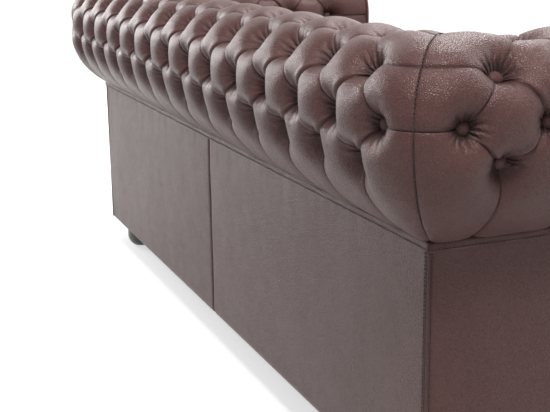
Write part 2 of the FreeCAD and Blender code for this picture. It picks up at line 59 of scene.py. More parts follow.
# The CAD box, and the planes that the leather is built on
BACK_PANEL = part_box("back_panel_right")
ARM_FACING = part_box("arm_facing_right")
BACK_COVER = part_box("back_tufted_cover")
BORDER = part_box("front_border")
HALF_WIDTH = BACK_PANEL[1].x
BACK_PLANE = BACK_PANEL[1].y
PANEL_BOTTOM = BACK_PANEL[0].z
UNDERSIDE_HEIGHT = BACK_PANEL[1].z
COVER_FRONT = ARM_FACING[1].y
FACING_FACE = ARM_FACING[0].y
CREST_HEIGHT = ARM_FACING[1].z
OVERHANG = ARM_FACING[1].x - HALF_WIDTH
INSIDE_OFFSET = HALF_WIDTH - ARM_FACING[0].x
ROLL_RADIUS = (OVERHANG + INSIDE_OFFSET) / 2
ROLL_HEIGHT = CREST_HEIGHT - ROLL_RADIUS
TUCK_HEIGHT = BACK_COVER[0].z
CENTRE_INSET = ROLL_RADIUS - OVERHANG
CORNER_U = HALF_WIDTH - CENTRE_INSET
CORNER_Y = BACK_PLANE - CENTRE_INSET

# The tufted field's own sizes, in metres
BACK_COLUMNS = 14
PITCH = 2 * HALF_WIDTH / BACK_COLUMNS
UNDERSIDE_RADIUS = 0.184
FIRST_ROW_DROP = 0.060
INSIDE_ROW_PITCH = 0.080
SEAM_MARGIN = 0.045
PUFF_SWELL = 0.0025
BUTTON_REACH = 0.12
BUTTON_SEAT = 0.0035
EDGE_TURN_IN = 0.018

# The plain pieces' own sizes, in metres, and the pressure and steps of the cushions' cloth run
PANEL_SPACING = 0.008
BAND_SPACING = 0.007
SEAM_STAND = 0.0012
FELL_RADIUS = 0.0018
BAND_STITCH_STAND = 0.0022
FACING_CROWN = 0.0115
FACING_CROWN_REACH = 0.050
FACING_SEAT = 0.0035
FACING_LEATHER = 0.006
FACING_COLUMNS = 26
BORDER_OVERLAP = 0.020
BORDER_DEPTH = 0.015
CUSHION_INSET = 0.003
CUSHION_ROOM = 0.020
CUSHION_SPACING = 0.0125
CUSHION_CROWN = 0.008
CUSHION_DRAWN = 0.002
CUSHION_PRESSURE = 4.0
CUSHION_RISE = 0.024
CUSHION_SIDE_MOVE = 0.007
CLOTH_STEPS = 20

# The section, walked from the roll's underside over the crest and down inside
UNDERSIDE_ANGLE = asin((ROLL_HEIGHT - UNDERSIDE_HEIGHT) / UNDERSIDE_RADIUS)
UNDERSIDE_LENGTH = UNDERSIDE_RADIUS * UNDERSIDE_ANGLE
ROLL_LENGTH = ROLL_RADIUS * pi
SECTION_LENGTH = UNDERSIDE_LENGTH + ROLL_LENGTH + ROLL_HEIGHT - TUCK_HEIGHT
CREST_V = UNDERSIDE_LENGTH + ROLL_LENGTH / 2

# The photograph's camera
PHOTO_WIDTH = 550
CAMERA_PLACE = (-2.0707, 1.0233, 0.8619)
CAMERA_YAW = radians(21.93)
CAMERA_PITCH = radians(14.246)
CAMERA_ROLL = radians(-0.784)
CAMERA_FOCAL_PIXELS = 1069.8
SENSOR = 36.0

# The lamps: name, place, target, size and power
LAMPS = (("light_far_back", (4.4, 1.9, 1.75), (0.2, 0.35, 0.6), 1.7, 128.0),
         ("light_above", (1.0, -1.2, 2.7), (-0.4, 0.1, 0.6), 1.1, 50.0),
         ("light_near", (-2.2, 0.9, 4.1), (-0.6, 0.2, 0.6), 1.4, 215.0),
         ("light_front", (-0.6, -3.2, 2.2), (0.0, 0.0, 0.4), 2.4, 60.0))
FLOOR_REACH = 30.0


class SofaCoverSettings(bpy.types.PropertyGroup):
    button_depth: bpy.props.FloatProperty(
        name="Button depth", description="How far a button is drawn in under the puffs",
        default=0.034, unit="LENGTH")
    pleat_depth: bpy.props.FloatProperty(
        name="Pleat depth", description="How far a pleat lies under the puffs",
        default=0.0046, unit="LENGTH")
    puff_roundness: bpy.props.FloatProperty(
        name="Puff roundness", description="Power of the puffs' section; smaller is fuller",
        default=0.37, min=0.2, max=1.0, subtype="FACTOR")
    dip_reach: bpy.props.FloatProperty(
        name="Dip reach", description="How far round a button the leather is drawn in",
        default=0.0205, unit="LENGTH")
    lip_height: bpy.props.FloatProperty(
        name="Lip height", description="Height of the fold that overlaps a pleat",
        default=0.0024, unit="LENGTH")
    gather_height: bpy.props.FloatProperty(
        name="Gather height", description="Height of the small folds round a button",
        default=0.0012, unit="LENGTH")
    button_radius: bpy.props.FloatProperty(
        name="Button radius", description="Radius of a covered button",
        default=0.0105, unit="LENGTH")
    steps: bpy.props.IntProperty(
        name="Steps", description="Mesh steps across one tuft", default=20, min=6, max=24)


class SofaTrimSettings(bpy.types.PropertyGroup):
    stitch_length: bpy.props.FloatProperty(
        name="Stitch length", description="Length of one stitch", default=0.0042, unit="LENGTH")
    stitch_pitch: bpy.props.FloatProperty(
        name="Stitch pitch", description="From one stitch to the next", default=0.0056, unit="LENGTH")
    thread_radius: bpy.props.FloatProperty(
        name="Thread radius", description="Radius of the sewing thread", default=0.0008, unit="LENGTH")
    welt_radius: bpy.props.FloatProperty(
        name="Welt radius", description="Radius of the piping", default=0.0042, unit="LENGTH")
    seam_allowance: bpy.props.FloatProperty(
        name="Seam allowance", description="From a seam to its topstitching", default=0.0045,
        unit="LENGTH")


class SofaColourSettings(bpy.types.PropertyGroup):
    leather: bpy.props.FloatVectorProperty(
        name="Leather", description="The leather's main colour", subtype="COLOR", size=3,
        default=(0.084, 0.036, 0.033))
    # Rubbed colour: real wear on the puffs and panels, and along the tufts' fold lips partly a painted
    # highlight.
    leather_rub_and_highlight: bpy.props.FloatVectorProperty(
        name="Rubbed leather", description="Colour of the leather where it is rubbed", subtype="COLOR",
        size=3, default=(0.104, 0.053, 0.047))
    # Painted shade: a near-black mixed in down in the pleats, in the folds round the buttons and round each
    # button; it also darkens the pebbles' valleys and the grain's crease lines.
    leather_painted_shade: bpy.props.FloatVectorProperty(
        name="Creased leather", description="Colour of the leather down in its creases",
        subtype="COLOR", size=3, default=(0.014, 0.007, 0.007))
    thread: bpy.props.FloatVectorProperty(
        name="Thread", description="Colour of the sewing thread", subtype="COLOR", size=3,
        default=(0.012, 0.007, 0.006))
    foot: bpy.props.FloatVectorProperty(
        name="Feet", description="Colour of the lacquered feet", subtype="COLOR", size=3,
        default=(0.012, 0.010, 0.009))
    wood: bpy.props.FloatVectorProperty(
        name="Frame wood", description="Colour of the frame's hardwood", subtype="COLOR", size=3,
        default=(0.42, 0.27, 0.15))
    cloth: bpy.props.FloatVectorProperty(
        name="Lining cloth", description="Colour of the black lining cloth", subtype="COLOR", size=3,
        default=(0.020, 0.020, 0.022))
    floor: bpy.props.FloatVectorProperty(
        name="Floor", description="Colour of the floor and backdrop", subtype="COLOR", size=3,
        default=(0.62, 0.62, 0.62))


# Section and placing

def section(v):
    """Distance outside the panel's plane, height and outward direction along the section."""
    v = np.asarray(v, float)
    low = v / UNDERSIDE_RADIUS - UNDERSIDE_ANGLE
    high = (v - UNDERSIDE_LENGTH) / ROLL_RADIUS
    on_low = v <= UNDERSIDE_LENGTH
    on_roll = (v > UNDERSIDE_LENGTH) & (v <= UNDERSIDE_LENGTH + ROLL_LENGTH)
    angle = np.where(on_low, low, np.where(on_roll, high, pi))
    radius = np.where(on_low, UNDERSIDE_RADIUS, ROLL_RADIUS)
    centre = np.where(on_low, OVERHANG - UNDERSIDE_RADIUS, -CENTRE_INSET)
    out_dir, up_dir = np.cos(angle), np.sin(angle)
    down = np.maximum(v - UNDERSIDE_LENGTH - ROLL_LENGTH, 0.0)
    return centre + radius * out_dir, ROLL_HEIGHT + radius * up_dir - down, out_dir, up_dir


def mitre_at(v):
    """How far along the back the mitre seam lies."""
    r = section(v)[0] + CENTRE_INSET
    return CORNER_U + np.where(r > 0, r * pi / 4, r)


def place_quarter(u, v, height, seamward):
    """Places on the back's right half; seamward is 1 on the mitre seam and 0 away from it."""
    out, z, out_dir, up_dir = section(v)
    r = out + CENTRE_INSET
    placed = r + height * out_dir
    u = np.where(r > 0, u, u + seamward * height * out_dir)
    turned = (r > 1e-6) & (u > CORNER_U)
    turn = np.where(turned, (u - CORNER_U) / np.where(turned, r, 1.0), 0.0)
    x = np.where(turned, CORNER_U + placed * np.sin(turn), u)
    y = CORNER_Y + placed * np.cos(turn)
    return x, y, z + height * up_dir


def place_back(u, v, height, seamward):
    """Places on the back."""
    x, y, z = place_quarter(np.abs(u), v, height, seamward)
    return np.stack([np.where(u < 0, -x, x), y, z], -1)


def place_arm(side):
    """Placing function of one arm; side is -1 for the left and 1 for the right."""
    def place(u, v, height, seamward):
        x, y, z = place_quarter(u, v, height, seamward)
        return np.stack([side * (y - BACK_PLANE + HALF_WIDTH), x - HALF_WIDTH + BACK_PLANE, z], -1)
    return place


# The rows of buttons: place along the section, and whether a row is half a column to the side
ROWS = [(UNDERSIDE_LENGTH - FIRST_ROW_DROP, True)]
ROWS += [(UNDERSIDE_LENGTH + i * ROLL_LENGTH / 4, i % 2 == 1) for i in range(5)]
ROWS += [(UNDERSIDE_LENGTH + ROLL_LENGTH + INSIDE_ROW_PITCH, True),
         (UNDERSIDE_LENGTH + ROLL_LENGTH + 2 * INSIDE_ROW_PITCH, False)]
ROW_V = np.array([v for v, staggered in ROWS])


def last_columns():
    """Last column of each row: half a column on where the seam leaves room, else half a column back."""
    room = [(float(mitre_at(v)) - SEAM_MARGIN) / PITCH for v in ROW_V]
    columns = [int(room[0] - 0.5) + 0.5]
    for row in range(1, len(ROWS)):
        columns.append(columns[-1] + (0.5 if columns[-1] + 0.5 <= room[row] else -0.5))
    return columns


LAST_COLUMN = last_columns()
FRONT_U = HALF_WIDTH + COVER_FRONT - BACK_PLANE
ARM_FIRST = float(ceil((FRONT_U + SEAM_MARGIN) / PITCH))


def row_columns(row, first):
    """Columns of a row's buttons; first is None on the back, and an arm's first column on an arm."""
    start = -LAST_COLUMN[row] if first is None else first + (0.5 if ROWS[row][1] else 0.0)
    return list(np.arange(start, LAST_COLUMN[row] + 0.25, 1.0))


def button_places(first):
    """Where a field's buttons lie, along the field and along the section."""
    return [(column * PITCH, ROWS[row][0])
            for row in range(len(ROWS)) for column in row_columns(row, first)]


def tufts(first):
    """The field's four-cornered tufts: corners, edge kinds, seam end and the side that folds over."""
    cells = []
    last = len(ROWS) - 1
    placed = [row_columns(row, first) for row in range(last + 1)]

    def button(column, row):
        return column * PITCH, ROWS[row][0]

    for row in range(1, last):
        fold = 1 if ROWS[row][0] > CREST_V + 0.01 else (-1 if ROWS[row][0] < CREST_V - 0.01 else 0)
        for column in placed[row][:-1]:
            middle = column + 0.5
            if middle in placed[row - 1] and middle in placed[row + 1]:
                corners = [button(column, row), button(middle, row + 1),
                           button(column + 1, row), button(middle, row - 1)]
                cells.append((corners, ["pleat"] * 4, 0, fold))

    for row, apex, rim_v in ((0, 1, 0.0), (last, last - 1, SECTION_LENGTH)):
        for column in placed[row][:-1]:
            middle = column + 0.5
            for side in (column, column + 1):
                corners = [button(side, row), button(middle, apex), (middle * PITCH, rim_v),
                           (side * PITCH, rim_v)]
                cells.append((corners, ["pleat", "ridge", "rim", "pleat"], 0, 0))

    for end in ((-1, 1) if first is None else (1,)):
        for row in range(last):
            corners = [button(end * LAST_COLUMN[row], row), button(end * LAST_COLUMN[row + 1], row + 1),
                       (0.0, ROWS[row + 1][0]), (0.0, ROWS[row][0])]
            kinds = ["pleat", "pleat", "seam", "ridge" if row == 0 else "pleat"]
            cells.append((corners, kinds, end, 0))
        for row, rim_v, kind in ((0, 0.0, "ridge"), (last, SECTION_LENGTH, "pleat")):
            u, v = button(end * LAST_COLUMN[row], row)
            cells.append(([(u, v), (u, rim_v), (0.0, rim_v), (0.0, v)],
                          ["pleat", "rim", "seam", kind], end, 0))

    if first is not None:
        def front_kind(row):
            return "ridge" if ROWS[row][1] else "pleat"

        for row in range(last):
            corners = [button(placed[row][0], row), button(placed[row + 1][0], row + 1),
                       (FRONT_U, ROWS[row + 1][0]), (FRONT_U, ROWS[row][0])]
            cells.append((corners, ["pleat", front_kind(row + 1), "rim", front_kind(row)], 0, 0))
        for row, rim_v in ((0, 0.0), (last, SECTION_LENGTH)):
            u, v = button(placed[row][0], row)
            cells.append(([(u, v), (u, rim_v), (FRONT_U, rim_v), (FRONT_U, v)],
                          ["pleat", "rim", "rim", front_kind(row)], 0, 0))
    return cells


EDGE_LEVEL = {"pleat": 0.0, "seam": 0.45, "ridge": 1.0, "rim": 1.0}


def across(x, low_kind, high_kind, power):
    """Fullness of a puff between two of its edges."""
    low, high = EDGE_LEVEL[low_kind], EDGE_LEVEL[high_kind]

    def rise(gap, level):
        return level + (1 - level) * np.clip(1 - (1 - np.minimum(gap / 0.5, 1)) ** 2, 0, 1) ** power

    return np.minimum(rise(x, low), rise(1 - x, high))


def smooth_noise(points, size, seed):
    """Smooth noise from -1 to 1 at each point."""
    shift = Vector((seed * 7.3, seed * 3.1, seed * 5.7))
    return np.array([noise.noise(Vector(p) / size + shift) for p in points])


def linked_object(name, data):
    """An object at the origin that holds the data."""
    made = bpy.data.objects.new(name, data)
    bpy.context.collection.objects.link(made)
    return made


def new_mesh_object(name, vertices, faces, material):
    """A mesh object at the origin with smooth faces."""
    mesh = bpy.data.meshes.new(name)
    mesh.from_pydata([tuple(map(float, p)) for p in vertices], [], [tuple(map(int, f)) for f in faces])
    mesh.validate()
    mesh.shade_smooth()
    mesh.materials.append(material)
    return linked_object(name, mesh)


def grid_faces(rows, columns):
    """Four-sided faces over a grid of vertices."""
    index = np.arange(rows * columns).reshape(rows, columns)
    return np.stack([index[:-1, :-1], index[1:, :-1], index[1:, 1:], index[:-1, 1:]], -1).reshape(-1, 4)


def recalculated(made, weld=True):
    """Turns a closed shape's faces outwards; unwelded, its vertices keep their order."""
    mesh = bmesh.new()
    mesh.from_mesh(made.data)
    if weld:
        bmesh.ops.remove_doubles(mesh, verts=mesh.verts, dist=1e-6)
    bmesh.ops.recalc_face_normals(mesh, faces=mesh.faces)
    mesh.to_mesh(made.data)
    mesh.free()
    return made


def facing(made, direction):
    """Turns an open sheet round when it mostly looks away from a direction."""
    if sum(face.normal.dot(direction) * face.area for face in made.data.polygons) < 0:
        made.data.flip_normals()


def field_height(u, v, levels, buttons, settings):
    """Height of the leather against the section, and how near a button it lies."""
    pleat = settings.pleat_depth
    nearest = np.full(u.shape, 1.0)
    dip = np.zeros(u.shape)
    folds = np.zeros(u.shape)
    for number, (button_u, button_v) in enumerate(buttons):
        near = np.abs(u - button_u) < BUTTON_REACH
        gap = np.hypot(u[near] - button_u, v[near] - button_v)
        beyond = np.maximum(gap - 0.75 * settings.button_radius, 0.0)
        dip[near] += np.exp(-(beyond / settings.dip_reach) ** 1.45)
        angle = np.arctan2(v[near] - button_v, u[near] - button_u)
        wave = np.sin(7 * angle + 1.7 * number) + 0.7 * np.sin(11 * angle + 2.9 * number)
        folds[near] += wave * np.exp(-((gap - 0.019) / 0.010) ** 2)
        nearest[near] = np.minimum(nearest[near], gap)
    height = -pleat + pleat * levels
    height = height - (settings.button_depth - pleat) * np.minimum(dip, 1.0) + folds * settings.gather_height
    return height + PUFF_SWELL * np.clip(levels, 0, 1), nearest


def tuft_patch(corners, kinds, seam_end, fold, s, t, roundness):
    """One tuft on a grid: places, fullness, nearness to the seam, and its fold's lift and slide."""
    c = np.array(corners)
    weights = [(1 - s) * (1 - t), s * (1 - t), s * t, (1 - s) * t]
    v = sum(w * c[i, 1] for i, w in enumerate(weights))
    if seam_end:
        u = (1 - t) * ((1 - s) * c[0, 0] + s * c[1, 0]) + t * seam_end * mitre_at(v)
        seam = t
    else:
        u = sum(w * c[i, 0] for i, w in enumerate(weights))
        seam = np.zeros_like(s)
    level = across(t, kinds[0], kinds[2], roundness) * across(s, kinds[3], kinds[1], roundness)
    lift = slide = np.zeros_like(s)
    if fold:
        sides = ((t, s), (1 - s, t)) if fold > 0 else ((1 - t, s), (s, t))
        for side, other in sides:
            ends = np.clip(4 * other * (1 - other), 0, 1) ** 0.6
            lip = np.exp(-((side - 0.060) / 0.040) ** 2) * ends * np.clip(side / 0.02, 0, 1)
            lift = np.maximum(lift, lip)
        slide = lift * fold * (s * (1 - s) * t * (1 - t) * 16) ** 0.15
    return [part.ravel() for part in (u, v, level, seam, lift, slide)]


def tufted_cover(name, place, first, material, settings):
    """The tufted leather of the back or of one arm, with its edges turned in."""
    even = np.linspace(0, 1, settings.steps + 1)
    line = 0.25 * even + 0.75 * (0.5 - 0.5 * np.cos(pi * even))
    s, t = np.meshgrid(line, line, indexing="ij")
    patches = [tuft_patch(*tuft, s, t, settings.puff_roundness) for tuft in tufts(first)]
    u, v, level, seam, lift, slide = (np.concatenate(part) for part in zip(*patches))
    faces = np.concatenate([grid_faces(*s.shape) + i * s.size for i in range(len(patches))])
    height, nearest = field_height(u, v, level, button_places(first), settings)
    height = height + lift * settings.lip_height
    v_moved = v + slide * settings.lip_height * 1.4
    points = place(u, v_moved, height, seam)

    # Vertices shared by neighbouring tufts become one
    keys = np.round(points / 2e-5).astype(np.int64)
    kept, inverse = np.unique(keys, axis=0, return_index=True, return_inverse=True)[1:]
    faces = inverse.reshape(-1)[faces]
    points, u, v, v_moved, height, nearest, level, seam, lift = (
        part[kept] for part in (points, u, v, v_moved, height, nearest, level, seam, lift))

    # Soft unevenness: each puff a little different, with wrinkles drawn across the mitre seams
    wave = smooth_noise(points, 0.075, 1) * 0.0022 + smooth_noise(points, 0.028, 2) * 0.0007
    by_seam = np.clip((seam - 0.55) / 0.3, 0, 1) * np.clip((1 - seam) / 0.06, 0, 1)
    drawn = np.array([noise.noise(Vector((a / 0.016, abs(b) / 0.12, 3.3))) for a, b in zip(v, u)])
    wave = wave * np.clip(level, 0, 1) + drawn * by_seam * np.clip(level, 0.3, 1) * 0.0024
    points = np.where(seam[:, None] > 0.995, points, place(u, v_moved, height + wave, seam))
    made = new_mesh_object(name, points, faces, material)
    for layer, values in (("puff", level), ("fold", lift), ("button_gap", nearest), ("column", u / PITCH),
                          ("row", np.interp(v, ROW_V, np.arange(len(ROWS))))):
        made.data.attributes.new(layer, "FLOAT", "POINT").data.foreach_set(
            "value", np.asarray(values, np.float32))
    turned_edges(made, place, u, v, height)
    return made


def turned_edges(made, place, u, v, height):
    """Turns the leather's open edges in under the section, and points every face outwards."""
    mesh = bmesh.new()
    mesh.from_mesh(made.data)
    mesh.verts.ensure_lookup_table()
    bmesh.ops.recalc_face_normals(mesh, faces=mesh.faces)
    if sum(f.normal.z for f in mesh.faces if f.calc_center_median().z > CREST_HEIGHT - 0.02) < 0:
        bmesh.ops.reverse_faces(mesh, faces=mesh.faces)
    extruded = bmesh.ops.extrude_edge_only(mesh, edges=[e for e in mesh.edges if e.is_boundary])
    for vertex in (g for g in extruded["geom"] if isinstance(g, bmesh.types.BMVert)):
        partners = [e.other_vert(vertex).index for e in vertex.link_edges
                    if 0 <= e.other_vert(vertex).index < len(u)]
        if partners:
            at = slice(partners[0], partners[0] + 1)
            inner, outer = (place(u[at], v[at], height[at] - depth, np.zeros(1))[0]
                            for depth in (EDGE_TURN_IN, 0.0))
            vertex.co = vertex.co + Vector(inner - outer)
    for face in mesh.faces:
        face.smooth = True
    mesh.to_mesh(made.data)
    mesh.free()


# Node building

def joined(tree, node, inputs):
    """Fills a node's inputs: a socket is linked, and anything else is the input's own value."""
    for key, value in inputs.items():
        if isinstance(value, bpy.types.NodeSocket):
            tree.links.new(value, node.inputs[key])
        else:
            node.inputs[key].default_value = value
    return node


def added(tree, kind, inputs, **settings):
    """Adds a node with its settings and its inputs."""
    node = tree.nodes.new(kind)
    for name, value in settings.items():
        setattr(node, name, value)
    return joined(tree, node, inputs)


def new_group(name, kind, inputs, outputs):
    """A node group with its sockets, and its two end nodes."""
    group = bpy.data.node_groups.new(name, kind)
    for socket_name, socket_kind, default in inputs:
        socket = group.interface.new_socket(name=socket_name, in_out="INPUT", socket_type=socket_kind)
        if default is not None:
            socket.default_value = default
    for socket_name, socket_kind in outputs:
        group.interface.new_socket(name=socket_name, in_out="OUTPUT", socket_type=socket_kind)
    return group, group.nodes.new("NodeGroupInput"), group.nodes.new("NodeGroupOutput")


def math_node(tree, operation, *values, clamp=False):
    """A Math node's output, from sockets or numbers."""
    return added(tree, "ShaderNodeMath", dict(enumerate(values)), operation=operation,
                 use_clamp=clamp).outputs[0]


def mapped(tree, value, from_low, from_high, to_low, to_high):
    """A clamped Map Range node's output."""
    return added(tree, "ShaderNodeMapRange", {
        "Value": value, "From Min": from_low, "From Max": from_high,
        "To Min": to_low, "To Max": to_high}).outputs["Result"]


def mixed_colour(tree, factor, a, b):
    """A colour Mix node's output, from sockets or from colours of three numbers."""
    a, b = ((*c, 1.0) if isinstance(c, tuple) else c for c in (a, b))
    return added(tree, "ShaderNodeMix", {"Factor": factor, 6: a, 7: b}, data_type="RGBA").outputs[2]


def noise_texture(tree, vector, scale, detail, roughness=0.5, distortion=0.0):
    """A Noise Texture's factor."""
    return added(tree, "ShaderNodeTexNoise", {
        "Vector": vector, "Scale": scale, "Detail": detail, "Roughness": roughness,
        "Distortion": distortion}).outputs["Fac"]


def bumped(tree, height, distance, strength=1.0, below=None, invert=False):
    """A Bump node's normal, laid over another normal where one is given."""
    inputs = {"Height": height, "Distance": distance, "Strength": strength}
    if below is not None:
        inputs["Normal"] = below
    return added(tree, "ShaderNodeBump", inputs, invert=invert).outputs["Normal"]


def new_material(name):
    """An empty material, its tree, its Principled BSDF and its Object coordinates."""
    material = bpy.data.materials.new(name)
    material.use_nodes = True
    tree = material.node_tree
    vector = tree.nodes.new("ShaderNodeTexCoord").outputs["Object"]
    return material, tree, tree.nodes["Principled BSDF"], vector


def placed_group(tree, group_name, inputs):
    """A node that holds the named group."""
    return added(tree, "ShaderNodeGroup", inputs, node_tree=bpy.data.node_groups[group_name])


def attribute_value(tree, name):
    """A per-vertex number's socket."""
    return added(tree, "ShaderNodeAttribute", {}, attribute_name=name).outputs["Fac"]


# Materials

def leather_grain_group():
    """Pebbled hide: pores and pebbles, long soft creases, rubbed and stained patches, and painted shade down
    in the pleats.
    """
    group, start, end = new_group(
        "Leather grain", "ShaderNodeTree",
        [("Vector", "NodeSocketVector", None), ("Pebble size", "NodeSocketFloat", 0.0022),
         ("Colour", "NodeSocketColor", (0.06, 0.04, 0.036, 1)),
         ("Rubbed", "NodeSocketColor", (0.13, 0.1, 0.09, 1)),
         ("Shaded", "NodeSocketColor", (0.02, 0.013, 0.012, 1)),
         ("Puff", "NodeSocketFloat", 0.7)],
        [("Colour", "NodeSocketColor"), ("Roughness", "NodeSocketFloat"), ("Height", "NodeSocketFloat")])
    vector, puff = start.outputs["Vector"], start.outputs["Puff"]
    scale = math_node(group, "DIVIDE", 1.0, start.outputs["Pebble size"])
    warped = added(group, "ShaderNodeVectorMath", {0: vector, "Scale": scale}, operation="SCALE")
    cells = added(group, "ShaderNodeTexVoronoi", {
        "Vector": warped.outputs[0], "Scale": 1.0, "Randomness": 0.9}, feature="DISTANCE_TO_EDGE")
    pebble = mapped(group, cells.outputs["Distance"], 0.0, 0.32, 0.0, 1.0)
    fine = noise_texture(group, vector, 900.0, 3.0, 0.6)
    crease = noise_texture(group, vector, 26.0, 4.0, 0.55, 1.2)
    crease_line = math_node(group, "ABSOLUTE", math_node(group, "SUBTRACT", crease, 0.5))
    crease_dark = mapped(group, crease_line, 0.0, 0.045, 1.0, 0.0)
    patches = noise_texture(group, vector, 5.5, 4.0, 0.6, 0.6)
    cloudy = noise_texture(group, vector, 38.0, 4.0, 0.65)
    rub = math_node(group, "MULTIPLY", mapped(group, patches, 0.36, 0.66, 0.0, 1.0),
                    mapped(group, puff, 0.55, 1.0, 0.0, 1.0))
    rub = math_node(group, "MULTIPLY", rub, mapped(group, cloudy, 0.3, 0.7, 0.55, 1.0), clamp=True)
    # Painted shade: towards the shaded colour where the puff is low, down in the pleats; the pebbles'
    # valleys and the crease lines darken with it as grain.
    dark = math_node(group, "MAXIMUM", mapped(group, puff, 0.0, 0.55, 1.0, 0.0),
                     mapped(group, pebble, 0.0, 0.6, 0.55, 0.0))
    dark = math_node(group, "MAXIMUM", dark, math_node(group, "MULTIPLY", crease_dark, 0.30))
    colour = mixed_colour(group, rub, start.outputs["Colour"], start.outputs["Rubbed"])
    rough = math_node(group, "MULTIPLY_ADD", cloudy, 0.14, 0.29)
    height = math_node(group, "MULTIPLY", pebble, 0.6)
    height = math_node(group, "MULTIPLY_ADD", fine, 0.25, height)
    joined(group, end, {
        "Colour": mixed_colour(group, dark, colour, start.outputs["Shaded"]),
        "Roughness": math_node(group, "MULTIPLY_ADD", dark, 0.22, rough, clamp=True),
        "Height": math_node(group, "MULTIPLY_ADD", crease_dark, -0.15, height)})


def gather_group():
    """Fine folds that run out from each button, as a height and a shade."""
    group, start, end = new_group(
        "Button gathers", "ShaderNodeTree",
        [("Column", "NodeSocketFloat", 0.0), ("Row", "NodeSocketFloat", 0.0),
         ("Gap", "NodeSocketFloat", 1.0), ("Vector", "NodeSocketVector", None)],
        [("Height", "NodeSocketFloat"), ("Shade", "NodeSocketFloat")])
    column, row, gap = (start.outputs[name] for name in ("Column", "Row", "Gap"))

    def offsets(column_shift, row_shift):
        shifted = math_node(group, "SUBTRACT", column, column_shift)
        across_column = math_node(group, "SUBTRACT", shifted, math_node(group, "ROUND", shifted))
        half = math_node(group, "MULTIPLY", math_node(group, "SUBTRACT", row, row_shift), 0.5)
        along_row = math_node(group, "SUBTRACT", half, math_node(group, "ROUND", half))
        x = math_node(group, "MULTIPLY", across_column, PITCH)
        y = math_node(group, "MULTIPLY", along_row, 2 * INSIDE_ROW_PITCH)
        squared = math_node(group, "ADD", math_node(group, "MULTIPLY", x, x),
                            math_node(group, "MULTIPLY", y, y))
        return math_node(group, "ARCTAN2", y, x), squared

    angle_plain, gap_plain = offsets(0.0, 1.0)
    angle_shifted, gap_shifted = offsets(0.5, 0.0)
    nearer = math_node(group, "LESS_THAN", gap_shifted, gap_plain)
    angle = math_node(group, "ADD", math_node(group, "MULTIPLY", nearer, angle_shifted),
                      math_node(group, "MULTIPLY", math_node(group, "SUBTRACT", 1.0, nearer), angle_plain))
    wobble = noise_texture(group, start.outputs["Vector"], 34.0, 2.0)
    phase = math_node(group, "MULTIPLY_ADD", angle, 13.0, math_node(group, "MULTIPLY", wobble, 9.0))
    near = mapped(group, gap, 0.009, 0.044, 1.0, 0.0)
    clear = mapped(group, gap, 0.004, 0.011, 0.0, 1.0)
    strength = math_node(group, "MULTIPLY", math_node(group, "MULTIPLY", near, near), clear)
    folded = math_node(group, "MULTIPLY", math_node(group, "SINE", phase), strength)
    joined(group, end, {"Height": folded, "Shade": mapped(group, folded, -1.0, 0.0, 0.55, 0.0)})


def leather_material(name, colours, tufted=False, rubbed=0.7, pebble=0.0032):
    """Aged pebbled leather; tufted leather also has folds at its buttons, painted shade in its pleats, its
    folds and round its buttons, and fold lips painted lighter as wear and highlight.
    """
    material, tree, surface, vector = new_material(name)
    painted_shade = tuple(colours.leather_painted_shade)
    grain = placed_group(tree, "Leather grain", {
        "Vector": vector, "Pebble size": pebble, "Colour": (*colours.leather, 1),
        "Rubbed": (*colours.leather_rub_and_highlight, 1), "Shaded": (*painted_shade, 1),
        "Puff": attribute_value(tree, "puff") if tufted else rubbed})
    colour = grain.outputs["Colour"]
    normal = bumped(tree, grain.outputs["Height"], 0.0010, 0.6)
    if tufted:
        gap = attribute_value(tree, "button_gap")
        gathers = placed_group(tree, "Button gathers", {
            "Column": attribute_value(tree, "column"), "Row": attribute_value(tree, "row"),
            "Gap": gap, "Vector": vector})
        # Painted shade in the troughs of the small folds round each button.
        colour = mixed_colour(tree, gathers.outputs["Shade"], colour, painted_shade)
        # Painted shade round each button, darkest near it and gone about 26 mm out.
        colour = mixed_colour(tree, mapped(tree, gap, 0.009, 0.026, 0.85, 0.0), colour, painted_shade)
        # The leather is painted lighter along the fold lips: partly rubbed wear, partly a painted highlight
        # on the lips.
        worn = mapped(tree, attribute_value(tree, "fold"), 0.55, 1.0, 0.0, 0.55)
        colour = mixed_colour(tree, worn, colour, tuple(colours.leather_rub_and_highlight))
        normal = bumped(tree, gathers.outputs["Height"], 0.0030, 0.8, normal)
    joined(tree, surface, {
        "Base Color": colour, "Roughness": grain.outputs["Roughness"], "Normal": normal,
        "Specular IOR Level": 0.27, "Specular Tint": (1.0, 0.80, 0.77, 1), "Sheen Weight": 0.06,
        "Sheen Roughness": 0.45, "Sheen Tint": (0.95, 0.90, 0.88, 1)})
    return material


def thread_material(colours):
    """Waxed sewing thread with a fine twist."""
    material, tree, surface, vector = new_material("thread")
    twist = noise_texture(tree, vector, 2500.0, 1.0)
    shade = mapped(tree, twist, 0.3, 0.7, 0.0, 1.0)
    dark = tuple(0.6 * c for c in colours.thread)
    joined(tree, surface, {
        "Base Color": mixed_colour(tree, shade, dark, tuple(colours.thread)),
        "Roughness": 0.6, "Normal": bumped(tree, twist, 0.0002)})
    return material


def foot_material(colours):
    """Black lacquer over turned wood, with fine turning rings and worn edges."""
    material, tree, surface, vector = new_material("foot_lacquer")
    split = added(tree, "ShaderNodeSeparateXYZ", {0: vector})
    rings = math_node(tree, "SINE", math_node(tree, "MULTIPLY", split.outputs["Z"], 2600.0))
    cloud = noise_texture(tree, vector, 60.0, 4.0, 0.6)
    worn = mapped(tree, cloud, 0.52, 0.75, 0.0, 0.5)
    joined(tree, surface, {
        "Base Color": mixed_colour(tree, worn, tuple(colours.foot), (0.045, 0.030, 0.022)),
        "Roughness": mapped(tree, cloud, 0.3, 0.7, 0.22, 0.42),
        "Normal": bumped(tree, rings, 0.0003, 0.12), "Coat Weight": 0.5, "Coat Roughness": 0.12})
    return material


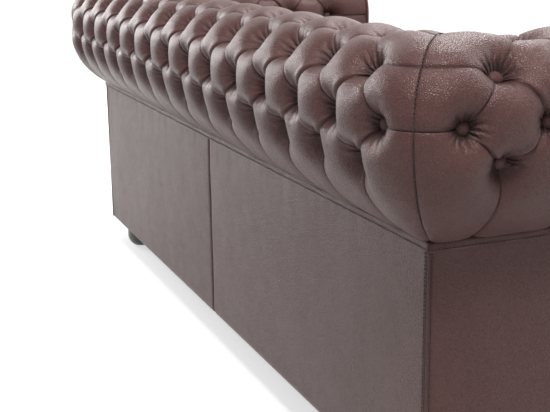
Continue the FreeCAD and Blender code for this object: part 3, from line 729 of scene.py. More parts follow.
def wood_material(colours):
    """Sawn hardwood with long grain."""
    material, tree, surface, vector = new_material("frame_hardwood")
    along = added(tree, "ShaderNodeMapping", {"Vector": vector, "Scale": (0.12, 1.0, 1.0)}).outputs[0]
    rings = noise_texture(tree, along, 55.0, 5.0, 0.6, 1.4)
    pores = noise_texture(tree, along, 700.0, 2.0)
    dark = tuple(0.62 * c for c in colours.wood)
    colour = mixed_colour(tree, mapped(tree, rings, 0.3, 0.7, 0.0, 1.0), tuple(colours.wood), dark)
    colour = mixed_colour(tree, mapped(tree, pores, 0.55, 0.7, 0.0, 0.5), colour, dark)
    joined(tree, surface, {
        "Base Color": colour, "Roughness": 0.72, "Normal": bumped(tree, rings, 0.0006)})
    return material


def woven_material(name, colour, thread_size):
    """Plain woven cloth or webbing."""
    material, tree, surface, vector = new_material(name)
    split = added(tree, "ShaderNodeSeparateXYZ", {0: vector})
    turns = pi / thread_size
    warp = math_node(tree, "SINE", math_node(tree, "MULTIPLY", split.outputs["X"], turns))
    level = math_node(tree, "ADD", split.outputs["Y"], split.outputs["Z"])
    weft = math_node(tree, "SINE", math_node(tree, "MULTIPLY", level, turns))
    weave = math_node(tree, "MULTIPLY", warp, weft)
    cloud = noise_texture(tree, vector, 14.0, 4.0)
    light = tuple(min(1.0, 1.5 * c) for c in colour)
    mix = mixed_colour(tree, mapped(tree, weave, -1.0, 1.0, 0.0, 0.55),
                       tuple(0.6 * c for c in colour), light)
    joined(tree, surface, {
        "Base Color": mixed_colour(tree, mapped(tree, cloud, 0.4, 0.7, 0.0, 0.3), mix, colour),
        "Roughness": 0.85, "Normal": bumped(tree, weave, thread_size * 0.3)})
    return material


def foam_material():
    """Open-celled upholstery foam."""
    material, tree, surface, vector = new_material("upholstery_foam")
    cells = added(tree, "ShaderNodeTexVoronoi", {"Vector": vector, "Scale": 420.0}).outputs["Distance"]
    shade = mapped(tree, cells, 0.2, 0.8, 0.0, 1.0)
    joined(tree, surface, {
        "Base Color": mixed_colour(tree, shade, (0.78, 0.70, 0.48), (0.52, 0.43, 0.25)),
        "Roughness": 0.95, "Normal": bumped(tree, cells, 0.0008, invert=True)})
    return material


def scuffed_material(name, scale, detail, roughness, colours, rough, metallic):
    """Steel or plastic with a fine brushed or scuffed noise."""
    material, tree, surface, vector = new_material(name)
    scuff = noise_texture(tree, vector, scale, detail, roughness)
    joined(tree, surface, {
        "Base Color": mixed_colour(tree, scuff, *colours),
        "Roughness": mapped(tree, scuff, 0.3, 0.7, *rough), "Metallic": metallic})
    return material


MATERIALS = {}

# Material of each of the record's slots
SLOT_MATERIALS = {"frame_wood": "wood", "foot_wood": "foot", "foam": "foam", "webbing": "webbing",
                  "lining_cloth": "cloth", "zip": "zip", "bolt_steel": "steel", "glide": "glide",
                  "cover_leather": "leather", "button_leather": "button", "piping_leather": "welt"}


class SOFA_OT_materials(bpy.types.Operator):
    """Make the sofa's materials and give the frame's own pieces theirs"""
    bl_idname = "sofa.materials"
    bl_label = "Materials"

    def execute(self, context):
        colours = context.scene.sofa_colours
        leather_grain_group()
        gather_group()
        MATERIALS.update({
            "tufted": leather_material("tufted_leather", colours, tufted=True),
            "leather": leather_material("panel_leather", colours, rubbed=0.66),
            "seat": leather_material("seat_leather", colours, rubbed=0.80),
            "button": leather_material("button_leather", colours, rubbed=0.62, pebble=0.0016),
            "welt": leather_material("welt_leather", colours, rubbed=0.72, pebble=0.0016),
            "thread": thread_material(colours),
            "foot": foot_material(colours),
            "wood": wood_material(colours),
            "cloth": woven_material("lining_cloth", tuple(colours.cloth), 0.0009),
            "webbing": woven_material("elastic_webbing", (0.10, 0.085, 0.07), 0.0022),
            "foam": foam_material(),
            "steel": scuffed_material("bolt_steel", 900.0, 3.0, 0.5,
                                      ((0.42, 0.42, 0.43), (0.6, 0.6, 0.58)), (0.28, 0.5), 1.0),
            "glide": scuffed_material("glide_plastic", 260.0, 5.0, 0.7,
                                      ((0.03, 0.03, 0.03), (0.07, 0.07, 0.07)), (0.4, 0.75), 0.0),
            "zip": woven_material("zip_tape", (0.05, 0.035, 0.03), 0.0008)})
        for entry in frame["record"]["subparts"]:
            for slot in frame["nodes"][entry["node"]].material_slots:
                slot.material = MATERIALS[SLOT_MATERIALS[entry["material_slot"]]]
        return {"FINISHED"}


def dressed(made, slot_name, body, *nodes):
    """Puts a piece on its body and hides the nodes that it stands for; the slot name is not used."""
    if nodes:
        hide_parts(*nodes)
    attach(made, body)
    return made


# The three tufted fields: name, placing function and first column
FIELDS = (("back", place_back, None), ("left_arm", place_arm(-1), ARM_FIRST),
          ("right_arm", place_arm(1), ARM_FIRST))


class SOFA_OT_tufted_covers(bpy.types.Operator):
    """Make the tufted leather of the back and arms, with its pleats and mitred corners"""
    bl_idname = "sofa.tufted_covers"
    bl_label = "Tufted covers"

    def execute(self, context):
        for name, place, first in FIELDS:
            made = tufted_cover(name + "_tufted_leather", place, first, MATERIALS["tufted"],
                                context.scene.sofa_cover)
            dressed(made, "cover_leather", "sofa", name + "_tufted_cover")
        return {"FINISHED"}


# Geometry Nodes: buttons, stitches and welts

def finish_tree(tree, geometry, end, material):
    """Realizes the instances, sets the material and ends the tree."""
    realize = added(tree, "GeometryNodeRealizeInstances", {0: geometry})
    paint = added(tree, "GeometryNodeSetMaterial", {"Geometry": realize.outputs[0], "Material": material})
    joined(tree, end, {0: paint.outputs[0]})


def stitches_tree():
    """Stitches laid end to end along the paths of a mesh of edges."""
    tree, start, end = new_group(
        "Stitches", "GeometryNodeTree",
        [("Paths", "NodeSocketGeometry", None), ("Pitch", "NodeSocketFloat", 0.0056),
         ("Length", "NodeSocketFloat", 0.0042), ("Radius", "NodeSocketFloat", 0.0006),
         ("Material", "NodeSocketMaterial", None)], [("Stitches", "NodeSocketGeometry")])
    to_curve = added(tree, "GeometryNodeMeshToCurve", {0: start.outputs["Paths"]})
    points = added(tree, "GeometryNodeCurveToPoints", {
        0: to_curve.outputs[0], "Length": start.outputs["Pitch"]}, mode="LENGTH")
    stitch = added(tree, "GeometryNodeMeshUVSphere", {"Segments": 6, "Rings": 4, "Radius": 1.0})
    half = math_node(tree, "MULTIPLY", start.outputs["Length"], 0.5)
    radius = start.outputs["Radius"]
    size = added(tree, "ShaderNodeCombineXYZ", {0: radius, 1: radius, 2: half})
    put = added(tree, "GeometryNodeInstanceOnPoints", {
        "Points": points.outputs["Points"], "Instance": stitch.outputs["Mesh"],
        "Rotation": points.outputs["Rotation"], "Scale": size.outputs[0]})
    finish_tree(tree, put.outputs[0], end, start.outputs["Material"])
    return tree


def welt_tree():
    """Round piping swept along the paths of a mesh of edges."""
    tree, start, end = new_group(
        "Welt", "GeometryNodeTree",
        [("Paths", "NodeSocketGeometry", None), ("Radius", "NodeSocketFloat", 0.0042),
         ("Material", "NodeSocketMaterial", None)], [("Welt", "NodeSocketGeometry")])
    to_curve = added(tree, "GeometryNodeMeshToCurve", {0: start.outputs["Paths"]})
    ring = added(tree, "GeometryNodeCurvePrimitiveCircle", {
        "Resolution": 10, "Radius": start.outputs["Radius"]})
    sweep = added(tree, "GeometryNodeCurveToMesh", {
        "Curve": to_curve.outputs[0], "Profile Curve": ring.outputs[0], "Fill Caps": True})
    finish_tree(tree, sweep.outputs[0], end, start.outputs["Material"])
    return tree


def buttons_tree():
    """Covered buttons set on points, each turned to the point's stored direction."""
    tree, start, end = new_group(
        "Buttons", "GeometryNodeTree",
        [("Points", "NodeSocketGeometry", None), ("Button", "NodeSocketObject", None),
         ("Material", "NodeSocketMaterial", None)], [("Buttons", "NodeSocketGeometry")])
    direction = added(tree, "GeometryNodeInputNamedAttribute", {"Name": "direction"},
                      data_type="FLOAT_VECTOR")
    turn = added(tree, "FunctionNodeAlignRotationToVector", {
        "Vector": direction.outputs["Attribute"]}, axis="Z")
    spin = added(tree, "FunctionNodeRandomValue", {3: 2 * pi, "Seed": 4}, data_type="FLOAT")
    spin_vector = added(tree, "ShaderNodeCombineXYZ", {2: spin.outputs[1]})
    to_rotation = added(tree, "FunctionNodeEulerToRotation", {0: spin_vector.outputs[0]})
    spun = added(tree, "FunctionNodeRotateRotation", {
        0: turn.outputs[0], 1: to_rotation.outputs[0]}, rotation_space="LOCAL")
    info = added(tree, "GeometryNodeObjectInfo", {"Object": start.outputs["Button"]})
    put = added(tree, "GeometryNodeInstanceOnPoints", {
        "Points": start.outputs["Points"], "Instance": info.outputs["Geometry"],
        "Rotation": spun.outputs[0]})
    finish_tree(tree, put.outputs[0], end, start.outputs["Material"])
    return tree


TREES = {}


def grown(name, source, kind, values, material):
    """Runs a Geometry Nodes tree on a source object and keeps the result as a plain mesh."""
    if kind not in TREES:
        TREES[kind] = kind()
    tree = TREES[kind]
    ids = {item.name: item.identifier for item in tree.interface.items_tree
           if item.item_type == "SOCKET" and item.in_out == "INPUT"}
    modifier = source.modifiers.new("grow", "NODES")
    modifier.node_group = tree
    for socket_name, value in {**values, "Material": material}.items():
        modifier[ids[socket_name]] = value
    graph = bpy.context.evaluated_depsgraph_get()
    graph.update()
    mesh = bpy.data.meshes.new_from_object(source.evaluated_get(graph))
    mesh.name = name
    mesh.shade_smooth()
    if not mesh.materials:
        mesh.materials.append(material)
    source.modifiers.remove(modifier)
    bpy.data.objects.remove(source)
    return linked_object(name, mesh)


def path_object(paths, closed=False):
    """A mesh of edges that holds the paths."""
    points, edges = [], []
    for path in paths:
        base = len(points)
        points.extend(tuple(map(float, p)) for p in path)
        edges.extend((base + i, base + i + 1) for i in range(len(path) - 1))
        if closed:
            edges.append((base + len(path) - 1, base))
    mesh = bpy.data.meshes.new("paths")
    mesh.from_pydata(points, edges, [])
    return linked_object("paths", mesh)


def stitched(name, paths, settings):
    """Stitches along the paths, on the sofa's body."""
    values = {"Pitch": settings.stitch_pitch, "Length": settings.stitch_length,
              "Radius": settings.thread_radius}
    made = grown(name, path_object(paths), stitches_tree, values, MATERIALS["thread"])
    return dressed(made, "cover_leather", "sofa")


def welted(name, paths, radius, closed=False):
    """Piping along the paths."""
    return grown(name, path_object(paths, closed), welt_tree, {"Radius": radius}, MATERIALS["welt"])


# Rings of a covered button, as shares of its radius: how far out and how high
BUTTON_RINGS = ((0.30, 0.62), (0.62, 0.50), (0.86, 0.28), (1.0, 0.0), (0.97, -0.22), (0.72, -0.36))
BUTTON_SIDES = 20


def button_mesh(radius):
    """One covered button: a low dome whose leather is gathered under its rim."""
    count = BUTTON_SIDES
    points = [(0.0, 0.0, 0.66 * radius)]
    for reach, height in BUTTON_RINGS:
        for i in range(count):
            angle = 2 * pi * i / count
            ripple = 1.0 + (0.018 * cos(10 * angle) if reach > 0.9 else 0.0)
            points.append((reach * ripple * radius * cos(angle), reach * ripple * radius * sin(angle),
                           height * radius))
    faces = [(0, 1 + i, 1 + (i + 1) % count) for i in range(count)]
    bottom = 1 + (len(BUTTON_RINGS) - 1) * count
    for base in range(1, bottom, count):
        for i in range(count):
            j = (i + 1) % count
            faces.append((base + i, base + count + i, base + count + j, base + j))
    faces.append(tuple(bottom + i for i in reversed(range(count))))
    return points, faces


class SOFA_OT_buttons(bpy.types.Operator):
    """Set the covered buttons at the bottoms of the tufts"""
    bl_idname = "sofa.buttons"
    bl_label = "Buttons"

    def execute(self, context):
        settings = context.scene.sofa_cover
        pattern = new_mesh_object("button_pattern", *button_mesh(settings.button_radius),
                                  MATERIALS["button"])
        for name, place, first in FIELDS:
            u, v = np.array(button_places(first)).T
            still = np.zeros_like(u)
            low = place(u, v, still - settings.button_depth + BUTTON_SEAT, still)
            mesh = bpy.data.meshes.new("button_points")
            mesh.from_pydata([tuple(p) for p in low], [], [])
            layer = mesh.attributes.new("direction", "FLOAT_VECTOR", "POINT")
            layer.data.foreach_set("vector", (place(u, v, still, still) - low).astype(np.float32).ravel())
            made = grown("covered_" + name + "_buttons", linked_object("button_points", mesh),
                         buttons_tree, {"Button": pattern}, MATERIALS["button"])
            dressed(made, "button_leather", "sofa", name + "_buttons")
        bpy.data.objects.remove(pattern)
        return {"FINISHED"}


# Plain leather: panels, bands, the border and the arm fronts

def sheet_slab(name, width_axis, sign, span, heights, plane, thickness, shape):
    """A leather panel over padding: a shaped face with rounded edges, closed behind.

    shape gives how far the face stands out of its plane at a distance along and a height.
    """
    along, up = (np.linspace(*ends, max(3, int((ends[1] - ends[0]) / PANEL_SPACING)))
                 for ends in (span, heights))
    a, z = np.meshgrid(along, up, indexing="ij")
    plane_axis = 1 - width_axis
    points = np.zeros((*a.shape, 3))
    points[..., width_axis] = a
    points[..., plane_axis] = plane + sign * shape(a, z)
    points[..., 2] = z
    index = np.arange(a.size).reshape(a.shape)
    faces = [tuple(f) for f in grid_faces(*a.shape)]
    border = list(index[:, 0]) + list(index[-1, 1:]) + list(index[-2::-1, -1]) + list(index[0, -2:0:-1])
    flat = points.reshape(-1, 3)
    behind = flat[border].copy()
    behind[:, plane_axis] = plane - sign * thickness
    base = len(flat)
    count = len(border)
    for i in range(count):
        j = (i + 1) % count
        faces.append((border[i], base + i, base + j, border[j]))
    faces.append(tuple(range(base, base + count)))
    return recalculated(new_mesh_object(name, np.vstack([flat, behind]), faces, MATERIALS["leather"]))


def rounded_edge(gap, radius):
    """How far a rounded edge lies back at a distance from the edge."""
    inside = np.clip(radius - gap, 0, radius)
    return radius - np.sqrt(np.maximum(radius ** 2 - inside ** 2, 0))


def noise_field(a, z, size, seed):
    """Smooth noise over a panel."""
    flat = [noise.noise(Vector((x / size, y / size, seed * 3.7))) for x, y in zip(a.ravel(), z.ravel())]
    return np.array(flat).reshape(a.shape)


def panel_shape(span, heights, seed, fullness=0.0030, roll=0.0018):
    """Stand-out of a drawn panel: slightly full, softly uneven, rounded at its edges."""
    def shape(a, z):
        gap_a = np.minimum(a - span[0], span[1] - a)
        gap_z = np.minimum(z - heights[0], heights[1] - z)
        full = (np.clip(gap_a / 0.10, 0, 1) * np.clip(gap_z / 0.09, 0, 1)) ** 0.5 * fullness
        uneven = noise_field(a, z, 0.17, seed) * 0.0014 + noise_field(a, z, 0.06, seed + 5) * 0.0005
        pull = np.exp(-(heights[1] - z) / 0.045) * noise_field(a, z * 0.15, 0.030, seed + 9) * 0.0017
        return full + uneven * np.clip(gap_z / 0.02, 0, 1) + pull - rounded_edge(gap_a, roll) \
            - rounded_edge(gap_z, roll)
    return shape


class SOFA_OT_panels(bpy.types.Operator):
    """Make the outside panels of the back and arms, with their felled and topstitched seams"""
    bl_idname = "sofa.panels"
    bl_label = "Outside panels"

    def execute(self, context):
        trim = context.scene.sofa_trim
        heights = (PANEL_BOTTOM, UNDERSIDE_HEIGHT)
        thickness = BACK_PANEL[1].y - BACK_PANEL[0].y
        for side, name, seed in ((-1, "left", 1), (1, "right", 2)):
            half = (min(0, side * HALF_WIDTH), max(0, side * HALF_WIDTH))
            for part, axis, sign, span, plane, number in (
                    ("back", 0, 1, half, BACK_PLANE, seed),
                    ("arm", 1, side, (COVER_FRONT, BACK_PLANE), side * HALF_WIDTH, seed + 2)):
                made = sheet_slab("outside_" + part + "_" + name, axis, sign, span, heights, plane,
                                  thickness, panel_shape(span, heights, number))
                dressed(made, "cover_leather", "sofa", part + "_panel_" + name)
        allowance = trim.seam_allowance
        lines, ridges = [], []
        zs = np.linspace(PANEL_BOTTOM + 0.004, UNDERSIDE_HEIGHT - 0.017, 40)
        for side in (-1, 1):
            for inset in (allowance, 2 * allowance):
                lines.append([(side * (HALF_WIDTH - inset), BACK_PLANE + SEAM_STAND, z) for z in zs])
            lines.append([(side * (HALF_WIDTH + SEAM_STAND), BACK_PLANE - allowance, z) for z in zs])
            ridges.append([(side * (HALF_WIDTH - SEAM_STAND), BACK_PLANE - SEAM_STAND, z) for z in zs])
        stitched("outside_seam_stitches", lines, trim)
        dressed(welted("felled_seams", ridges, FELL_RADIUS), "cover_leather", "sofa")
        return {"FINISHED"}


class SOFA_OT_roll_band(bpy.types.Operator):
    """Make the turned band under the roll, with its topstitching and small wrinkles"""
    bl_idname = "sofa.roll_band"
    bl_label = "Band under the roll"

    def execute(self, context):
        trim = context.scene.sofa_trim
        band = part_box("roll_band")
        low, high = band[0].z, band[1].z
        profile = [(-0.002, low), (0.0004, low), (0.0013, low + 0.0012), (0.0020, (low + high) / 2),
                   (0.0018, high - 0.004), (0.0002, high - 0.0005), (-0.004, high + 0.001)]
        places = self.places(self.outline(0.0))
        points = []
        for x, y, outward in places:
            for k, (out, z) in enumerate(profile):
                ripple = noise.noise(Vector((x / 0.03, y / 0.03, z / 0.012)))
                stand = out + (ripple * 0.0012 if 0 < k < len(profile) - 1 else 0.0)
                points.append((x + outward[0] * stand, y + outward[1] * stand, z + ripple * 0.0006))
        made = recalculated(new_mesh_object("turned_band", points, grid_faces(len(places), len(profile)),
                                            MATERIALS["welt"]))
        facing(made, Vector((0, 1, 0)))
        dressed(made, "cover_leather", "sofa", "roll_band")
        line = self.outline(BAND_STITCH_STAND)
        lines = [[(x, y, low + 0.0035) for x, y in pair] for pair in zip(line, line[1:])]
        stitched("band_stitches", lines, trim)
        return {"FINISHED"}

    def outline(self, stand):
        """Corner points of a line round the arms and the back, a little out of their panels."""
        half, rear = HALF_WIDTH + stand, BACK_PLANE + stand
        return [(-half, COVER_FRONT), (-half, rear), (half, rear), (half, COVER_FRONT)]

    def places(self, corners):
        """Close places along the outline, each with its outward direction."""
        found = []
        for (x0, y0), (x1, y1) in zip(corners, corners[1:]):
            length = max(abs(x1 - x0), abs(y1 - y0))
            count = int(length / BAND_SPACING)
            for i in range(count + 1):
                x, y = x0 + (x1 - x0) * i / count, y0 + (y1 - y0) * i / count
                outward = (-(y1 - y0) / length, (x1 - x0) / length)
                if i in (0, count) and abs(y - BACK_PLANE) < 1e-6:
                    outward = (1.0 if x > 0 else -1.0, 1.0)
                if not found or abs(found[-1][0] - x) + abs(found[-1][1] - y) > 1e-6:
                    found.append((x, y, outward))
        return found


def facing_sides(z):
    """Inner and outer side of an arm's front at a height, from the panel's plane."""
    reach = max(ROLL_RADIUS ** 2 - (z - ROLL_HEIGHT) ** 2, 0) ** 0.5
    if z <= UNDERSIDE_HEIGHT:
        return -INSIDE_OFFSET, 0.0
    if z <= ROLL_HEIGHT:
        curve = (UNDERSIDE_RADIUS ** 2 - (ROLL_HEIGHT - z) ** 2) ** 0.5
        return -INSIDE_OFFSET, OVERHANG - UNDERSIDE_RADIUS + curve
    return -CENTRE_INSET - reach, -CENTRE_INSET + reach


def arm_outline(count):
    """Outline of an arm's front on the right, from the outer bottom over the roll to the inner bottom."""
    straight = np.linspace(PANEL_BOTTOM, UNDERSIDE_HEIGHT, 24)
    path = [(HALF_WIDTH, z) for z in straight[:-1]]
    v = np.linspace(0, UNDERSIDE_LENGTH + ROLL_LENGTH, count)
    path += [(HALF_WIDTH + out, z) for out, z in zip(*section(v)[:2])]
    path += [(HALF_WIDTH - INSIDE_OFFSET, z) for z in np.linspace(ROLL_HEIGHT, PANEL_BOTTOM, 30)[1:]]
    return path


class SOFA_OT_arm_fronts(bpy.types.Operator):
    """Make the padded facings of the arm fronts and their piping"""
    bl_idname = "sofa.arm_fronts"
    bl_label = "Arm fronts"

    def execute(self, context):
        trim = context.scene.sofa_trim
        low_part = np.linspace(PANEL_BOTTOM, UNDERSIDE_HEIGHT, 34)[:-1]
        turn = np.linspace(-UNDERSIDE_ANGLE, 0, 22)[:-1]
        high_part = ROLL_HEIGHT + ROLL_RADIUS * np.sin(np.linspace(0, pi / 2, 34))
        levels = np.concatenate([low_part, ROLL_HEIGHT + UNDERSIDE_RADIUS * np.sin(turn), high_part])
        shares = 0.5 - 0.5 * np.cos(pi * np.arange(FACING_COLUMNS + 1) / FACING_COLUMNS)
        for side, name in ((-1, "left"), (1, "right")):
            points = []
            for z in levels:
                inner, outer = facing_sides(z)
                for f in shares:
                    x = HALF_WIDTH + inner + (outer - inner) * f
                    edge = min(min(f, 1 - f) * (outer - inner), z - PANEL_BOTTOM, (CREST_HEIGHT - z) * 1.2)
                    crown = FACING_CROWN * (1 - (1 - min(max(edge, 0) / FACING_CROWN_REACH, 1)) ** 2)
                    uneven = noise.noise(Vector((x / 0.07, z / 0.07, side * 2.0))) * 0.0008
                    points.append((side * x, FACING_FACE + FACING_SEAT - crown - uneven, z))
            faces = grid_faces(len(levels), len(shares))
            made = recalculated(new_mesh_object("arm_front_" + name, points, faces, MATERIALS["leather"]))
            facing(made, Vector((0, -1, 0)))
            solid = made.modifiers.new("thickness", "SOLIDIFY")
            solid.thickness = FACING_LEATHER
            solid.offset = -1
            dressed(made, "cover_leather", "sofa", "arm_facing_" + name)
        paths = [[(side * x, FACING_FACE + 0.0008, z) for x, z in arm_outline(90)] for side in (-1, 1)]
        dressed(welted("arm_front_piping", paths, trim.welt_radius), "piping_leather", "sofa",
                "facing_piping")
        return {"FINISHED"}


class SOFA_OT_front_border(bpy.types.Operator):
    """Make the padded border under the cushions"""
    bl_idname = "sofa.front_border"
    bl_label = "Front border"

    def execute(self, context):
        trim = context.scene.sofa_trim
        span = (BORDER[0].x - BORDER_OVERLAP, BORDER[1].x + BORDER_OVERLAP)
        heights = (BORDER[0].z, BORDER[1].z)
        plane = BORDER[0].y + 0.004
        shape = panel_shape(span, heights, 7, fullness=0.006, roll=0.010)
        made = sheet_slab("seat_border", 0, -1, span, heights, plane, BORDER_DEPTH, shape)
        dressed(made, "cover_leather", "sofa", "front_border")
        z = BORDER[0].z + 0.014
        line = [[(x, plane - 0.0062, z) for x in np.linspace(span[0] + 0.03, span[1] - 0.03, 60)]]
        stitched("border_stitches", line, trim)
        return {"FINISHED"}


# Seat cushions

def cushion_grid(box_low, box_high):
    """A closed, crowned box of a cushion with drawn-in sides, and its edges as rings of vertices."""
    size = [top - bottom for bottom, top in zip(box_low, box_high)]
    counts = [max(4, int(round(s / CUSHION_SPACING))) for s in size]
    index, faces = {}, []
    for axis in range(3):
        b, c = [d for d in range(3) if d != axis]
        for end in (0, counts[axis]):
            for i in range(counts[b]):
                for j in range(counts[c]):
                    corners = []
                    for di, dj in ((0, 0), (1, 0), (1, 1), (0, 1)):
                        key = [0, 0, 0]
                        key[axis], key[b], key[c] = end, i + di, j + dj
                        corners.append(index.setdefault(tuple(key), len(index)))
                    faces.append(tuple(corners))
    rings = []
    nx, ny, nz = counts
    for k in (0, nz):
        ring = [(i, 0, k) for i in range(nx)] + [(nx, j, k) for j in range(ny)]
        ring += [(i, ny, k) for i in range(nx, 0, -1)] + [(0, j, k) for j in range(ny, 0, -1)]
        rings.append([index[key] for key in ring])
    f = np.array(list(index)) / np.array(counts)
    centred = 2 * f - 1
    p = np.array(box_low) + f * np.array(size)
    for axis in (0, 1):
        p[:, axis] += centred[:, axis] * (CUSHION_DRAWN * centred[:, 1 - axis] ** 2 - CUSHION_DRAWN)
    dome = np.clip((1 - centred[:, 0] ** 4) * (1 - centred[:, 1] ** 4), 0, 1)
    p[:, 2] += np.where(f[:, 2] > 0.5, (2 * f[:, 2] - 1) * dome * CUSHION_CROWN, 0)
    return p, faces, rings


def inflated(made, floor_height):
    """Swells a cushion by a short cloth run, with each point's move capped and its base kept flat."""
    start = end = np.array([tuple(v.co) for v in made.data.vertices])
    cloth = made.modifiers.new("cloth", "CLOTH")
    settings = cloth.settings
    settings.use_pressure = True
    settings.uniform_pressure_force = CUSHION_PRESSURE
    settings.effector_weights.gravity = 0.0
    settings.quality = 5
    settings.tension_stiffness = 25
    settings.compression_stiffness = 12
    settings.shear_stiffness = 8
    settings.bending_stiffness = 0.6
    cloth.point_cache.frame_start = 1
    cloth.point_cache.frame_end = CLOTH_STEPS
    scene = bpy.context.scene
    for step in range(1, CLOTH_STEPS + 1):
        scene.frame_set(step)
    graph = bpy.context.evaluated_depsgraph_get()
    mesh = made.evaluated_get(graph).to_mesh()
    end = np.array([tuple(v.co) for v in mesh.vertices])
    made.evaluated_get(graph).to_mesh_clear()
    made.modifiers.remove(cloth)
    scene.frame_set(1)
    move = end - start
    level = np.linalg.norm(move[:, :2], axis=1, keepdims=True)
    move[:, :2] *= np.minimum(1.0, CUSHION_SIDE_MOVE / np.maximum(level, 1e-9))
    move[:, 2] = np.clip(move[:, 2], -CUSHION_SIDE_MOVE, CUSHION_RISE)
    points = start + move
    points[:, 2] = np.maximum(points[:, 2], floor_height)
    return points


class SOFA_OT_cushions(bpy.types.Operator):
    """Make the loose seat cushions by a short cloth run, with their piping"""
    bl_idname = "sofa.cushions"
    bl_label = "Seat cushions"

    def execute(self, context):
        trim = context.scene.sofa_trim
        first_low, first_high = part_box("cushion_cover_middle")
        low = (first_low.x + CUSHION_INSET, first_low.y + CUSHION_INSET, first_low.z)
        high = (first_high.x - CUSHION_INSET, first_high.y - CUSHION_INSET, first_high.z - CUSHION_ROOM)
        points, faces, rings = cushion_grid(low, high)
        source = new_mesh_object("cushion_source", points, faces, MATERIALS["seat"])
        swollen = inflated(recalculated(source, weld=False), first_low.z)
        bpy.data.objects.remove(source)
        for seed, name in enumerate(("left", "middle", "right")):
            cover_low, cover_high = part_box("cushion_cover_" + name)
            shift = (cover_low.x + cover_high.x) / 2 - (first_low.x + first_high.x) / 2
            placed = swollen + np.array([shift, 0, 0])
            top = placed[:, 2] > first_low.z + 0.03
            wave = smooth_noise(placed, 0.16, 20 + seed) * 0.0040 \
                + smooth_noise(placed, 0.05, 30 + seed) * 0.0011
            placed[:, 2] += wave * top
            placed[:, 0] = np.clip(placed[:, 0], cover_low.x + 0.0006, cover_high.x - 0.0006)
            placed[:, 1] = np.clip(placed[:, 1], cover_low.y - 0.004, cover_high.y - 0.0004)
            placed[:, 2] = np.minimum(placed[:, 2], cover_high.z + 0.012)
            made = new_mesh_object("seat_cushion_" + name, placed, faces, MATERIALS["seat"])
            recalculated(made, weld=False)
            smooth = made.modifiers.new("smooth", "SUBSURF")
            smooth.levels = smooth.render_levels = 1
            dressed(made, "cover_leather", "cushion_" + name, "cushion_cover_" + name)
            paths = []
            for ring in rings:
                loop = placed[ring]
                outward = loop - loop.mean(axis=0)
                outward[:, 2] = 0
                outward /= np.linalg.norm(outward, axis=1, keepdims=True)
                loop = loop - outward * 0.0016
                radius = trim.welt_radius
                loop[:, 2] = np.maximum(loop[:, 2], cover_low.z + radius)
                loop[:, 0] = np.clip(loop[:, 0], cover_low.x + radius, cover_high.x - radius)
                paths.append(loop)
            welt = welted("cushion_piping_" + name, paths, trim.welt_radius * 0.9, closed=True)
            dressed(welt, "cover_leather", "cushion_" + name)
        return {"FINISHED"}


# Seams at the mitred corners

class SOFA_OT_mitre_seams(bpy.types.Operator):
    """Sew the mitre seams where the arms' rolls meet the back's"""
    bl_idname = "sofa.mitre_seams"
    bl_label = "Mitre seams"

    def execute(self, context):
        settings = context.scene.sofa_cover
        trim = context.scene.sofa_trim
        v = np.linspace(0.002, SECTION_LENGTH - 0.05, 240)
        seam_height = 0.0022 - settings.pleat_depth * (1 - EDGE_LEVEL["seam"])
        out, z, out_dir, up_dir = section(v)
        placed = out + CENTRE_INSET + seam_height * out_dir
        reach = np.where(placed > 0, placed * cos(pi / 4), placed)
        height = z + seam_height * up_dir
        paths = [np.stack([side * (CORNER_U + reach), CORNER_Y + reach, height], -1) for side in (-1, 1)]
        stitched("mitre_stitches", paths, trim)
        return {"FINISHED"}


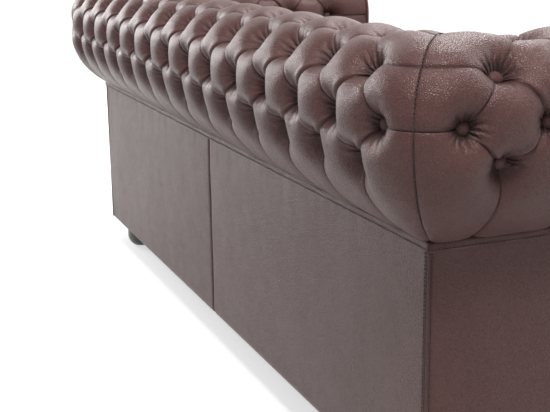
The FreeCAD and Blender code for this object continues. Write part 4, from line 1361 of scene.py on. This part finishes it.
class SOFA_OT_stage(bpy.types.Operator):
    """Make the floor, the plain studio light and the photograph's camera"""
    bl_idname = "sofa.stage"
    bl_label = "Stage"

    def execute(self, context):
        scene = context.scene
        scene.view_settings.view_transform = "Standard"
        self.floor(scene.sofa_colours)
        self.world(scene)
        for name, place, target, size, power in LAMPS:
            data = bpy.data.lights.new(name, "AREA")
            data.shape = "DISK"
            data.size = size
            data.energy = power
            made = linked_object(name, data)
            made.location = place
            made.rotation_euler = (Vector(target) - Vector(place)).to_track_quat("-Z", "Y").to_euler()
        self.camera(scene)
        return {"FINISHED"}

    def seen(self, tree):
        """1 for what the camera sees, also in a reflection or through glass, and 0 for lighting."""
        rays = tree.nodes.new("ShaderNodeLightPath")
        direct = math_node(tree, "MAXIMUM", rays.outputs["Is Camera Ray"], rays.outputs["Is Glossy Ray"])
        return math_node(tree, "MAXIMUM", direct, rays.outputs["Is Transmission Ray"])

    def floor(self, colours):
        """A wide pale floor that keeps the sofa's shadow and reads white."""
        material, tree, surface, vector = new_material("pale_floor")
        away = added(tree, "ShaderNodeVectorMath", {0: vector}, operation="LENGTH")
        fade = mapped(tree, away.outputs["Value"], 0.9, 2.2, 0.62, 1.0)
        joined(tree, surface, {
            "Base Color": (*colours.floor, 1), "Roughness": 0.9, "Specular IOR Level": 0.1,
            "Emission Color": (1, 1, 1, 1),
            "Emission Strength": math_node(tree, "MULTIPLY", self.seen(tree), fade)})
        points = [(x * FLOOR_REACH, y * FLOOR_REACH, 0) for x, y in ((-1, -1), (1, -1), (1, 1), (-1, 1))]
        new_mesh_object("floor", points, [(0, 1, 2, 3)], material)

    def world(self, scene):
        """Soft light all round, which the camera, reflections and glass see as white."""
        world = bpy.data.worlds.new("studio")
        scene.world = world
        world.use_nodes = True
        tree = world.node_tree
        generated = tree.nodes.new("ShaderNodeTexCoord").outputs["Generated"]
        split = added(tree, "ShaderNodeSeparateXYZ", {0: generated})
        low = mapped(tree, split.outputs["Z"], -0.05, 0.45, 0.14, 0.12)
        joined(tree, tree.nodes["Background"], {
            "Color": (1, 1, 1, 1), "Strength": math_node(tree, "MAXIMUM", low, self.seen(tree))})

    def camera(self, scene):
        """The photograph's camera."""
        forward = Vector((cos(CAMERA_YAW) * cos(CAMERA_PITCH), -sin(CAMERA_YAW) * cos(CAMERA_PITCH),
                          -sin(CAMERA_PITCH)))
        right = forward.cross(Vector((0, 0, 1))).normalized()
        up = right.cross(forward)
        right_rolled = cos(CAMERA_ROLL) * right + sin(CAMERA_ROLL) * up
        up_rolled = cos(CAMERA_ROLL) * up - sin(CAMERA_ROLL) * right
        data = bpy.data.cameras.new("photo_camera")
        data.sensor_width = SENSOR
        data.lens = SENSOR * CAMERA_FOCAL_PIXELS / PHOTO_WIDTH
        data.clip_end = 100.0
        made = linked_object("photo_camera", data)
        turn = Matrix((right_rolled, up_rolled, -forward)).transposed()
        made.matrix_world = Matrix.Translation(CAMERA_PLACE) @ turn.to_4x4()
        scene.camera = made


class SOFA_PT_panel(bpy.types.Panel):
    """Lists the sofa's settings and its building steps"""
    bl_idname = "SOFA_PT_panel"
    bl_label = "Sofa"
    bl_space_type = "VIEW_3D"
    bl_region_type = "UI"
    bl_category = "Sofa"

    def draw(self, context):
        layout = self.layout
        for group in (context.scene.sofa_cover, context.scene.sofa_trim, context.scene.sofa_colours):
            for name in group.__annotations__:
                layout.prop(group, name)
        for operator in OPERATORS:
            layout.operator(operator.bl_idname)


SETTINGS = ((SofaCoverSettings, "sofa_cover"), (SofaTrimSettings, "sofa_trim"),
            (SofaColourSettings, "sofa_colours"))
OPERATORS = (SOFA_OT_materials, SOFA_OT_tufted_covers, SOFA_OT_buttons, SOFA_OT_mitre_seams,
             SOFA_OT_panels, SOFA_OT_roll_band, SOFA_OT_arm_fronts, SOFA_OT_front_border,
             SOFA_OT_cushions, SOFA_OT_stage)


def register():
    """Registers the settings, the operators and the panel."""
    for group, name in SETTINGS:
        bpy.utils.register_class(group)
        setattr(bpy.types.Scene, name, bpy.props.PointerProperty(type=group))
    for operator in OPERATORS:
        bpy.utils.register_class(operator)
    bpy.utils.register_class(SOFA_PT_panel)


def unregister():
    """Takes them away again."""
    bpy.utils.unregister_class(SOFA_PT_panel)
    for operator in reversed(OPERATORS):
        bpy.utils.unregister_class(operator)
    for group, name in reversed(SETTINGS):
        delattr(bpy.types.Scene, name)
        bpy.utils.unregister_class(group)


def main():
    """Builds the sofa and its stage."""
    register()
    bpy.ops.sofa.materials()
    bpy.ops.sofa.tufted_covers()
    bpy.ops.sofa.buttons()
    bpy.ops.sofa.mitre_seams()
    bpy.ops.sofa.panels()
    bpy.ops.sofa.roll_band()
    bpy.ops.sofa.arm_fronts()
    bpy.ops.sofa.front_border()
    bpy.ops.sofa.cushions()
    bpy.ops.sofa.stage()


if __name__ == "__main__":
    main()
